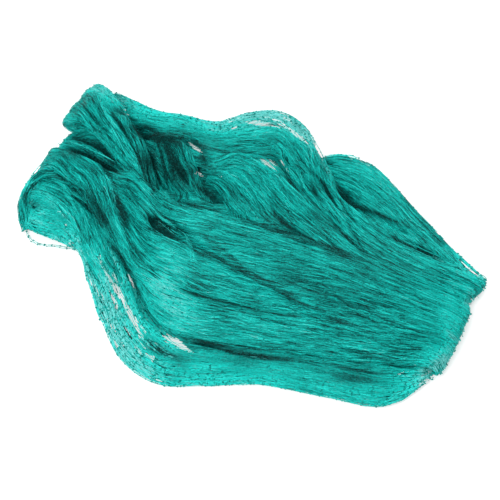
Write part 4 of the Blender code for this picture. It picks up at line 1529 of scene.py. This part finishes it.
def twine_tree(context):
    """Geometry Nodes that turn lines into twines and marked points into knots, made once."""
    if "twines" in STATE:
        return STATE["twines"]
    tree = bpy.data.node_groups.new("twines_and_knots", "GeometryNodeTree")
    tree.is_modifier = True
    face = tree.interface
    face.new_socket("Paths", in_out="INPUT", socket_type="NodeSocketGeometry")
    kinds = {float: "NodeSocketFloat", int: "NodeSocketInt", bool: "NodeSocketBool"}
    sizes = {}
    for name, value in twine_inputs(context.scene.netting_twines).items():
        socket = face.new_socket(name, in_out="INPUT", socket_type=kinds[type(value)])
        if isinstance(value, float):
            socket.subtype = "DISTANCE"
        socket.default_value = value
        sizes[name] = socket.identifier
    face.new_socket("Netting", in_out="OUTPUT", socket_type="NodeSocketGeometry")
    given = add_node(tree, "NodeGroupInput").outputs
    width = add_node(tree, "GeometryNodeInputNamedAttribute", data_type="FLOAT", Name="width")
    half = worked_out(tree, "MULTIPLY", given["Twine Thickness"], 0.5)
    whole = add_node(
        tree, "GeometryNodeCurvePrimitiveCircle", Resolution=given["Sides"], Radius=half
    )
    upper_half = add_node(
        tree,
        "GeometryNodeCurveArc",
        Radius=half,
        Resolution=3,
        **{"Start Angle": math.pi, "Sweep Angle": math.pi},
    )
    shape = add_node(
        tree,
        "GeometryNodeSwitch",
        input_type="GEOMETRY",
        Switch=given["Lies On Sheet"],
        **{"False": whole.outputs["Curve"], "True": upper_half.outputs["Curve"]},
    )
    lines = add_node(tree, "GeometryNodeMeshToCurve", Mesh=given["Paths"]).outputs["Curve"]
    upright = add_node(tree, "GeometryNodeSetCurveNormal", mode="Z_UP", Curve=lines)
    tubes = add_node(
        tree,
        "GeometryNodeCurveToMesh",
        Curve=upright.outputs["Curve"],
        Scale=width.outputs["Attribute"],
        **{"Profile Curve": shape.outputs["Output"]},
    )
    marked = add_node(tree, "GeometryNodeInputNamedAttribute", data_type="BOOLEAN", Name="knot")
    half_knot = worked_out(tree, "MULTIPLY", given["Knot Size"], 0.5)
    bead = add_node(tree, "GeometryNodeMeshUVSphere", Segments=4, Rings=2, Radius=half_knot)
    uneven = add_node(
        tree, "FunctionNodeRandomValue", data_type="FLOAT", Min=0.7, Max=1.25, Seed=given["Seed"]
    )
    scale = worked_out(tree, "MULTIPLY", uneven.outputs["Value"], width.outputs["Attribute"])
    beads = add_node(
        tree,
        "GeometryNodeInstanceOnPoints",
        Points=given["Paths"],
        Selection=marked.outputs["Attribute"],
        Instance=bead.outputs["Mesh"],
        Scale=scale,
    )
    real = add_node(tree, "GeometryNodeRealizeInstances", Geometry=beads.outputs["Instances"])
    sheets = context.scene.netting_sheets
    join = add_node(tree, "GeometryNodeJoinGeometry")
    for bare, material in (
        (tubes.outputs["Mesh"], twine_material(sheets)),
        (real.outputs["Geometry"], knot_material(sheets)),
    ):
        painted = add_node(tree, "GeometryNodeSetMaterial", Geometry=bare, Material=material)
        tree.links.new(painted.outputs["Geometry"], join.inputs["Geometry"])
    add_node(tree, "NodeGroupOutput", Netting=join.outputs["Geometry"])
    STATE["twines"] = tree, sizes
    return STATE["twines"]


def polylines(points, joins, width, tone, knot):
    """Rows of points as polylines, joined where joins says so between neighbours in a row."""
    steps = points.shape[1]
    i, j = np.nonzero(joins)
    edges = np.stack([i * steps + j, i * steps + j + 1], axis=1)
    used = np.unique(edges)
    index = np.full(points.shape[0] * steps, -1)
    index[used] = np.arange(len(used))
    given = np.broadcast_arrays(width, tone, knot, points[..., 0])[:3]
    return points.reshape(-1, 3)[used], index[edges], *(values.ravel()[used] for values in given)


def one_line(points, width, tone, knot=False):
    """A single polyline through all its points."""
    return polylines(points[None], np.ones((1, len(points) - 1), bool), width, tone, knot)


def build_twines(context, name, parts, on_sheet=True):
    """Makes a finished piece of twines and knots from polylines."""
    starts = np.cumsum([0] + [len(part[0]) for part in parts])
    edges = np.concatenate([part[1] + start for part, start in zip(parts, starts)])
    vertices = np.concatenate([part[0] for part in parts])
    guide = mesh_object(name + "_guide", vertices.tolist(), edges.tolist(), [])
    for n, (key, kind) in enumerate((("width", "FLOAT"), ("tone", "FLOAT"), ("knot", "BOOLEAN"))):
        values = np.concatenate([part[n + 2] for part in parts])
        guide.data.attributes.new(key, kind, "POINT").data.foreach_set("value", values)
    tree, sizes = twine_tree(context)
    modifier = guide.modifiers.new("twines", "NODES")
    modifier.node_group = tree
    for key, value in twine_inputs(context.scene.netting_twines).items():
        modifier[sizes[key]] = value
    modifier[sizes["Lies On Sheet"]] = on_sheet
    graph = context.evaluated_depsgraph_get()
    mesh = bpy.data.meshes.new_from_object(guide.evaluated_get(graph))
    bpy.data.objects.remove(guide)
    mesh.name = name
    finish_piece(new_object(name, mesh))


class NETTING_OT_stage(bpy.types.Operator):
    """Set up the plain floor, the soft lights and the camera"""

    bl_idname = "netting.stage"
    bl_label = "Stage"

    def execute(self, context):
        settings = context.scene.netting_stage
        half = settings.floor_size / 2
        corners = [(-half, -half, 0), (half, -half, 0), (half, half, 0), (-half, half, 0)]
        floor = mesh_object("floor", corners, [], [(0, 1, 2, 3)])
        material, _, shader = plain_material("pale_floor", 0.9, 0.0)
        shader.inputs["Base Color"].default_value = settings.floor_colour
        shader.inputs["Emission Color"].default_value = WHITE
        shader.inputs["Emission Strength"].default_value = FLOOR_GLOW
        floor.data.materials.append(material)
        world = bpy.data.worlds.new("even_white")
        world.use_nodes = True
        sky = world.node_tree.nodes["Background"]
        sky.inputs["Color"].default_value = WHITE
        sky.inputs["Strength"].default_value = settings.sky_strength
        context.scene.world = world
        for name, spot, size, share in LIGHTS:
            light = bpy.data.lights.new(name, "AREA")
            light.shape = "DISK"
            light.size = size
            light.energy = settings.key_power * share
            lamp = new_object(name, light)
            lamp.location = spot
            lamp.rotation_euler = (-Vector(spot)).to_track_quat("-Z", "Y").to_euler()
        self.camera(context, settings)
        context.scene.view_settings.view_transform = "Standard"
        return {"FINISHED"}

    def camera(self, context, settings):
        """A camera that looks down on the middle of the bundle."""
        lens = bpy.data.cameras.new("camera")
        lens.sensor_width = SENSOR
        lens.lens = SENSOR * settings.camera_distance / PICTURE_WIDTH
        camera = new_object("camera", lens)
        up = settings.camera_elevation
        back = Vector((0, -math.cos(up), math.sin(up)))
        camera.location = Vector(cad_points(LOOKED_AT)) + settings.camera_distance * back
        camera.rotation_euler = (math.pi / 2 - up, 0, 0)
        context.scene.camera = camera


class NETTING_OT_sheets(bpy.types.Operator):
    """Build the sheets of packed twines, one for each run of the net"""

    bl_idname = "netting.sheets"
    bl_label = "Sheets"

    def execute(self, context):
        settings = context.scene.netting_sheets
        material = packed_material(settings)
        for run in runs().values():
            self.sheet(run, settings, material)
        return {"FINISHED"}

    def sheet(self, run, settings, material):
        """One run's sheet, wrapped round its folds, with its gaps and open places."""
        along = np.repeat(run.along[:, None], run.count, axis=1)
        around = np.repeat(run.around[None], len(run.along), axis=0)
        height = run.bundles(along, around, settings.pleat_pitch)
        sheer, open_share = run.openness(along, around)
        lift = settings.pleat_height * (height - BUNDLE_LEVEL) - SHEET_DEPTH
        points, _, shade = sunk_points(run.points, run.normals, run.room, lift)
        strayed = around - run.wander(along, around)
        missing = self.missing(run, along, strayed, open_share)
        missing |= in_gaps(points, 3.0 * run.noise(along, strayed, *RAGGED, 12) - 2.0)
        i, j = np.nonzero(self.cells(run, ~missing, open_share))
        k = (j + 1) % run.count
        here, ahead = i * run.count, (i + 1) * run.count
        faces = np.stack([here + j, here + k, ahead + k, ahead + j], axis=1)
        used = np.unique(faces)
        index = np.full(along.size, -1)
        index[used] = np.arange(len(used))
        faces = index[faces]
        vertices = points.reshape(-1, 3)[used].tolist()
        piece = mesh_object("sheet_" + run.name, vertices, [], faces.tolist())
        # painted shade: darker where the small bundles are low, in the creases between them, and
        # where the strokes paint shade
        crease = CREASE_DARK * np.clip(1.0 - height / CREASE_HEIGHT, 0, 1) * (1 - sheer)
        crease += np.clip(shade, 0, 1) * (1 - 0.5 * sheer)
        # pale where the run is sheer, and painted light where the strokes paint light
        light = np.clip(sheer - shade * (shade < 0), 0, 1)
        for key, values in (("crease", np.clip(crease, 0, 1)), ("light", light)):
            layer = piece.data.attributes.new(key, "FLOAT", "POINT")
            layer.data.foreach_set("value", values.ravel()[used])
        strayed_m = strayed * run.girth
        wrapped = np.concatenate([strayed_m, strayed_m[:, :1] + run.girth], axis=1)
        corners = np.stack([i, i, i + 1, i + 1], axis=1)
        sides = np.stack([j, j + 1, j + 1, j], axis=1)
        uv = np.stack([run.along[corners], wrapped[corners, sides]], axis=2)
        piece.data.uv_layers.new(name="along_twines").data.foreach_set("uv", uv.ravel())
        piece.data.materials.append(material)
        finish_piece(piece)
        width, length = float(run.girth), float(run.along[-1])
        if run.loose:
            width /= 2  # only its upper side is there

    def missing(self, run, along, strayed, open_share):
        """Which points are left out where the run is open, and on a loose pleat's under side."""
        holes = even_share(run.noise(along, strayed, *HOLE, 9))
        under = run.top < ON_TOP
        return (holes < open_share) | (under & (run.loose | (open_share > OPEN)))

    def cells(self, run, kept, open_share):
        """Which cells between the kept points are filled."""
        cells = kept[:-1] & kept[1:]
        cells = cells & np.roll(cells, -1, axis=1)
        cells |= (kept[:-1] & np.roll(kept[1:], -1, axis=1)) & (open_share[:-1] < CLOSED)
        under = np.argmin(np.abs(run.across - 0.5).mean(axis=0) + 2 * run.top.mean(axis=0))
        cells[:, under] = False  # the seam, where the sheet's two edges meet underneath
        return cells


class NETTING_OT_twines(bpy.types.Operator):
    """Build the single twines and their knots over the sheets"""

    bl_idname = "netting.twines"
    bl_label = "Twines"

    def execute(self, context):
        settings, sheets = context.scene.netting_twines, context.scene.netting_sheets
        self.cover = self.pleats_tree()
        for run in runs().values():
            lines = [self.lines(run, layer, settings, sheets) for layer in range(settings.layers)]
            for kind in LONG_TWINES:
                lines.append(self.long_lines(run, settings, sheets, *kind))
            parts = [[]]
            for found in lines:
                if sum(len(part[1]) for part in parts[-1]) + len(found[1]) > MOST_EDGES:
                    parts.append([])
                parts[-1].append(found)
            for number, part in enumerate(parts):
                if sum(len(found[1]) for found in part):
                    name = f"twines_{run.name}" + (f"_{number + 1}" if len(parts) > 1 else "")
                    build_twines(context, name, part)
        return {"FINISHED"}

    def pleats_tree(self):
        """A search tree of all the loose pleats."""
        points, faces = [], []
        for run in runs().values():
            if not run.loose:
                continue
            start = len(points)
            points.extend(run.points.reshape(-1, 3).tolist())
            for i in range(len(run.along) - 1):
                for j in range(run.count - 1):
                    if run.top[i, j] > ON_TOP and run.top[i, j + 1] > ON_TOP:
                        a = start + i * run.count + j
                        faces.append((a, a + run.count, a + run.count + 1, a + 1))
        return BVHTree.FromPolygons(points, faces)

    def covered(self, points):
        """Which points lie right under a loose pleat."""
        found = np.zeros(len(points), bool)
        upward = Vector((0, -SLANT, 1)).normalized()
        for i, point in enumerate(points):
            hit = self.cover.ray_cast(Vector(point), upward, PLEAT_ABOVE)[0]
            found[i] = hit is not None and (hit - Vector(point)).length > PLEAT_TOUCHES
        return found

    def shown(self, run, seen, flat, points, deepest):
        """The seen points without those deep inside the solid or right under a loose pleat."""
        where = np.nonzero(seen.ravel())[0]
        hidden = np.zeros(seen.size, bool)
        hidden[where] = depth_inside(solid_tree(), flat[where]) > deepest
        if not run.loose:
            where = where[~hidden[where]]
            hidden[where] = self.covered(points.reshape(-1, 3)[where])
        return seen & ~hidden.reshape(seen.shape)

    def laid(self, run, along, around, lift):
        """sunk_points for places on a run, with their normals and 1 where they are on top."""
        grids = run.points, run.normals, run.room, run.top
        points, normals, room, top = (run.sample(grid, along, around) for grid in grids)
        return *sunk_points(points, normals, room, lift), normals, top

    def lines(self, run, layer, settings, sheets):
        """The visible twines of one layer as polylines: they zigzag from knot to knot."""
        rng = np.random.default_rng(run.seed + 31 * layer + 5)
        count = 2 * int(round(run.girth / settings.pitch / 2))
        half_bar = settings.knot_spacing / 2
        steps = int(run.along[-1] / half_bar)
        k, m = np.arange(count)[:, None], np.arange(steps)[None]
        cells = np.repeat(k / count, steps, axis=1)
        place = np.arange(count) / count
        phase = 2 * soft_noise(np.zeros(count), place, count / 7, run.seed + layer)
        phase = phase + rng.uniform(-OUT_OF_STEP, OUT_OF_STEP, count)
        along = np.clip((m + phase[:, None] + 0.5) * half_bar, 0, run.along[-1])
        meets = (m % 2 == 0) & ((k + m // 2) % 2 == 0)
        zigzag = np.where(m % 2 == 0, meets - 0.5, 0.0)
        around = (k + 0.5 + ZIGZAG * zigzag) / count + rng.uniform(0, 1) / count
        own = soft_noise(along / 0.055, cells, count, run.seed + 17 * layer)
        stretch = along / TWINE_REACH + rng.uniform(0, 1, (count, 1))
        slope = rng.normal(0, FIRST_SLOPE + LAYER_SLOPE * layer, (count, 1))
        around = around + slope * TWINE_REACH * (np.mod(stretch, 1) - 0.5) / run.girth
        around = around + run.wander(along, around) + OWN_STRAY * own / run.girth
        height = run.bundles(along, around, sheets.pleat_pitch)
        drift = run.noise(along, around, 0.05, 0.006, 40 + layer)
        lift = sheets.pleat_height * (height - BUNDLE_LEVEL)
        lift = lift + FIRST_LIFT + LAYER_LIFT * (1 + drift) * (0.4 + layer * 0.25)
        points, flat, shade, normals, top = self.laid(run, along, around, lift)
        sheer, open_share = run.openness(along, around)
        knotty = run.knotty(along)
        luck = rng.uniform(0, 1, (count, 1))  # a twine with more of it shows in more places
        seen = luck > open_share * 1.05 + 0.45 * sheer
        seen &= ~((top < BELOW) & ((open_share > OPEN) | (points[..., 2] < ON_FLOOR)))
        if run.loose:
            seen &= top > WELL_ON_TOP
        seen &= height > LOWEST_HEIGHT + LUCKY_HEIGHT * luck
        if layer > 1:
            seen &= normals[..., 2] >= FACES_DOWN
        seen &= ~in_gaps(points, -3.0 + 5.0 * (luck - 0.5)) | (luck > SPANS_GAPS)
        seen = self.shown(run, seen, flat, points, TWINE_INSIDE)
        twine = np.floor(stretch)
        joins = seen[:, :-1] & seen[:, 1:] & (twine[:, :-1] == twine[:, 1:])
        patches = soft_noise(along / 0.020, cells, count, run.seed + 23 * layer + 7)
        tone = run.streaks(along, around) + OWN_TONE * rng.beta(0.9, 1.5, (count, 1))
        tone = tone + KNOTTY_TONE * knotty + PATCH_TONE * (0.5 + 0.5 * patches) ** 1.5
        tone = tone + STEP_TONE * rng.uniform(-1, 1, seen.shape)
        # where the run is sheer, its twines have the film's pale tone instead
        film = FILM_TONE + FILM_SPREAD * rng.uniform(-1, 1, (count, 1)) + FILM_PATCH * own
        tone = tone + (film - tone) * np.clip(1.2 * sheer, 0, 1)
        # painted shade and light: the strokes darken the tone where they paint shade and lighten
        # it where they paint light
        tone = tone * (1 - 0.95 * np.clip(shade, 0, 1)) - 0.45 * np.clip(shade, -1, 0)
        width = rng.uniform(THINNEST, THICKEST, (count, 1))
        width = width * (1 + 0.4 * np.clip(2 * sheer - 0.6, 0, 1))
        chance = KNOTS + SHEER_KNOTS * sheer + CROWDED_KNOTS * knotty
        # no knots where shade is painted, as the knots' colour takes no painted shade
        chance = chance * (1 - np.clip(2 * shade, 0, 1))
        knot = meets & (rng.uniform(0, 1, seen.shape) < chance)
        return polylines(points, joins, width, np.clip(tone, 0, 1), knot)

    def long_lines(self, run, settings, sheets, share, paleness, seed):
        """Long single twines: dark lines of painted shadow and pale lines of painted highlight."""
        rng = np.random.default_rng(run.seed + seed)
        length = run.along[-1]
        step = settings.knot_spacing / 2
        count = max(int(run.girth * length / share), 1)
        start = rng.uniform(0, length, (count, 1))
        reach = rng.integers(3, 9, (count, 1))
        m = np.arange(LONG_STEPS)[None]
        along = np.clip(start + m * step, 0, length)
        around = np.mod(rng.uniform(0, 1, (count, 1)) + 0 * along, 1)
        lean = 0.06 * rng.normal(0, 1, (count, 1)) * m * step / run.girth
        around = around + run.wander(along, around) + lean
        height = run.bundles(along, around, sheets.pleat_pitch)
        lift = sheets.pleat_height * (height - BUNDLE_LEVEL) + LONG_LIFT
        points, flat, shade, normals, top = self.laid(run, along, around, lift)
        sheer, _ = run.openness(along, around)
        seen = (m < reach) & (along < length) & (sheer < 0.25) & (normals[..., 2] > 0.1)
        seen &= top > 0.6
        seen &= ~in_gaps(points)
        seen = self.shown(run, seen, flat, points, LONG_INSIDE)
        width = 0.4 + 1.2 * np.sin(math.pi * (m + 0.5) / reach) * (m < reach)
        # painted shade from the strokes darkens them further
        tone = np.clip(paleness - 0.9 * np.clip(shade, 0, 1), 0, 1)
        return polylines(points, seen[:, :-1] & seen[:, 1:], width, tone, False)


class NETTING_OT_shade_and_highlight_twines(bpy.types.Operator):
    """Build dark twines of painted shade in the creases, pale ones of painted highlight on edges
    """

    bl_idname = "netting.crease_twines"
    bl_label = "Crease Twines"

    def execute(self, context):
        cloth = search_tree(item for item in bpy.data.objects if item.name.startswith("sheet_"))
        found = []
        for number, row in enumerate(STROKES):
            half_width, shade = row[6], row[8]
            if half_width > 9 or -0.4 < shade < 0.45:
                continue
            for strand in range(int(2 + 0.8 * half_width)):
                found.extend(self.strand(cloth, row, 40 * number + strand))
        build_twines(context, "crease_twines", found)
        return {"FINISHED"}

    def strand(self, cloth, row, seed):
        """One twine along a part of a crease, as one or more polylines."""
        rng = np.random.default_rng(9000 + seed)
        half_width, shade = row[6], row[8]
        length = np.linalg.norm(np.diff(np.reshape(row[:6], (3, 2)), axis=0), axis=1).sum()
        first = rng.uniform(-0.05, 0.55)
        last = first + rng.uniform(0.3, 0.7)
        steps = max(int(length * (last - first) / 5), 3)
        t = np.linspace(max(first, 0), min(last, 1), steps)[:, None]
        arc = arc_points(row, t)
        side = unit(np.gradient(arc, axis=0)[:, ::-1] * (1, -1))
        lean = rng.uniform(-0.35, 0.35, 2) + rng.normal(0, 0.30)
        apart = half_width * np.linspace(lean[0], lean[1], len(t)) + rng.normal(0, 0.15, len(t))
        line = [spot_below(cloth, x, y) for x, y in arc + side * apart[:, None]]
        pieces, part = [], []
        for spot in [*line, None]:
            if spot and (not part or abs(spot[2] - part[-1][2]) < HIGHEST_STEP):
                part.append(spot)
                continue
            if len(part) > 1:
                pieces.append(np.array(part) + (0, 0, CREASE_LIFT))
            part = [spot] if spot else []
        # painted shade: near black along the dark strokes; painted highlight: pale along the
        # bright ones
        tone = 0.03 if shade > 0 else 0.80
        swell = [0.4 + 0.8 * np.sin(math.pi * np.linspace(0, 1, len(part))) for part in pieces]
        return [one_line(part, width, tone) for part, width in zip(pieces, swell)]


class NETTING_OT_loose_twines(bpy.types.Operator):
    """Build the loose loop on the floor and the single twines that run free beside the edges"""

    bl_idname = "netting.loose_twines"
    bl_label = "Loose Twines"

    def execute(self, context):
        found = [self.loop(i) for i in range(3)]
        for number, route in enumerate(STRANDS):
            line = eased_rows(route, 7)
            line[:, 1] -= slid(line[:, 2])
            found.append(self.strand(cad_points(line), 200 + number, tone=0.68, knot_every=0.016))
        for number, row in enumerate(FREE_TWINES):
            found.extend(self.free(number, strand, *row) for strand in range(2))
        build_twines(context, "loose_twines", found, on_sheet=False)
        return {"FINISHED"}

    def strand(self, points, seed, tone, knot_every):
        """One polyline with knots at even distances."""
        rng = np.random.default_rng(seed)
        points[:, 2] = np.maximum(points[:, 2], LOWEST)
        reached = np.append(0, np.linalg.norm(np.diff(points, axis=0), axis=1).cumsum())
        beads = np.floor(reached / knot_every + rng.uniform())
        tones = np.clip(tone + 0.1 * rng.uniform(-1, 1, len(points)), 0, 1)
        return one_line(points, 1.1, tones, np.append(False, np.diff(beads) > 0))

    def loop(self, number):
        """One twine of the loose loop."""
        rng = np.random.default_rng(50 + number)
        line = cad_points(eased_rows(LOOSE_LOOP, 10))
        turn = np.linspace(0, 5 * math.pi, len(line)) + number * 2.1
        apart = 0.0007 + 0.0012 * np.sin(np.linspace(0, math.pi, len(line)))
        line[:, 0] += apart * np.cos(turn)
        line[:, 1] += apart * np.sin(turn)
        line[:, 2] += 0.0004 * number
        line += rng.uniform(-0.00025, 0.00025, line.shape)
        return self.strand(line, 60 + number, tone=0.55, knot_every=0.011)

    def free(self, number, strand, name, start, end, edge, out, high):
        """A twine that leaves an edge, runs beside it and comes back."""
        rng = np.random.default_rng(300 + 10 * number + strand)
        rows = eased_rows(RUNS[name], SECTIONS_PER_ROW)
        place = np.linspace(max(start, 0), min(end, len(RUNS[name]) - 1), 26) * SECTIONS_PER_ROW
        columns = [np.interp(place, np.arange(len(rows)), column) for column in rows.T]
        far, near = np.transpose(columns[0:3]), np.transpose(columns[3:6])
        here, there = (far, near) if edge == "far" else (near, far)
        outward = unit((here - there) * (1, 1, 0))
        share = np.linspace(0, 1, len(place))
        swell = np.sin(math.pi * share) ** 0.7 * (0.55 + 0.45 * strand)
        swell = swell + rng.uniform(-0.12, 0.12, len(place))
        line = here + outward * (out * swell)[:, None]
        line[:, 2] += high * np.sin(math.pi * share) * (1 - 0.4 * strand)
        seed = 400 + 10 * number + strand
        return self.strand(cad_points(line), seed, tone=0.62, knot_every=0.017)


class NETTING_PT_panel(bpy.types.Panel):
    """Buttons for the stage and for each group of pieces"""

    bl_label = "Folded Bird Netting"
    bl_idname = "NETTING_PT_panel"
    bl_space_type = "VIEW_3D"
    bl_region_type = "UI"
    bl_category = "Netting"

    def draw(self, context):
        twine_buttons = ("netting.twines", "netting.crease_twines", "netting.loose_twines")
        for settings, buttons in (
            (context.scene.netting_stage, ("netting.stage",)),
            (context.scene.netting_sheets, ("netting.sheets",)),
            (context.scene.netting_twines, twine_buttons),
        ):
            box = self.layout.box()
            for name in settings.__annotations__:
                box.prop(settings, name)
            for button in buttons:
                box.operator(button)


CLASSES = (
    StageSettings,
    SheetSettings,
    TwineSettings,
    NETTING_OT_stage,
    NETTING_OT_sheets,
    NETTING_OT_twines,
    NETTING_OT_shade_and_highlight_twines,
    NETTING_OT_loose_twines,
    NETTING_PT_panel,
)


def register():
    for cls in CLASSES:
        bpy.utils.register_class(cls)
    bpy.types.Scene.netting_stage = bpy.props.PointerProperty(type=StageSettings)
    bpy.types.Scene.netting_sheets = bpy.props.PointerProperty(type=SheetSettings)
    bpy.types.Scene.netting_twines = bpy.props.PointerProperty(type=TwineSettings)


def unregister():
    del bpy.types.Scene.netting_twines
    del bpy.types.Scene.netting_sheets
    del bpy.types.Scene.netting_stage
    for cls in reversed(CLASSES):
        bpy.utils.unregister_class(cls)


def main():
    register()
    bpy.ops.netting.stage()
    bpy.ops.netting.sheets()
    bpy.ops.netting.twines()
    bpy.ops.netting.crease_twines()
    bpy.ops.netting.loose_twines()


if __name__ == "__main__":
    main()
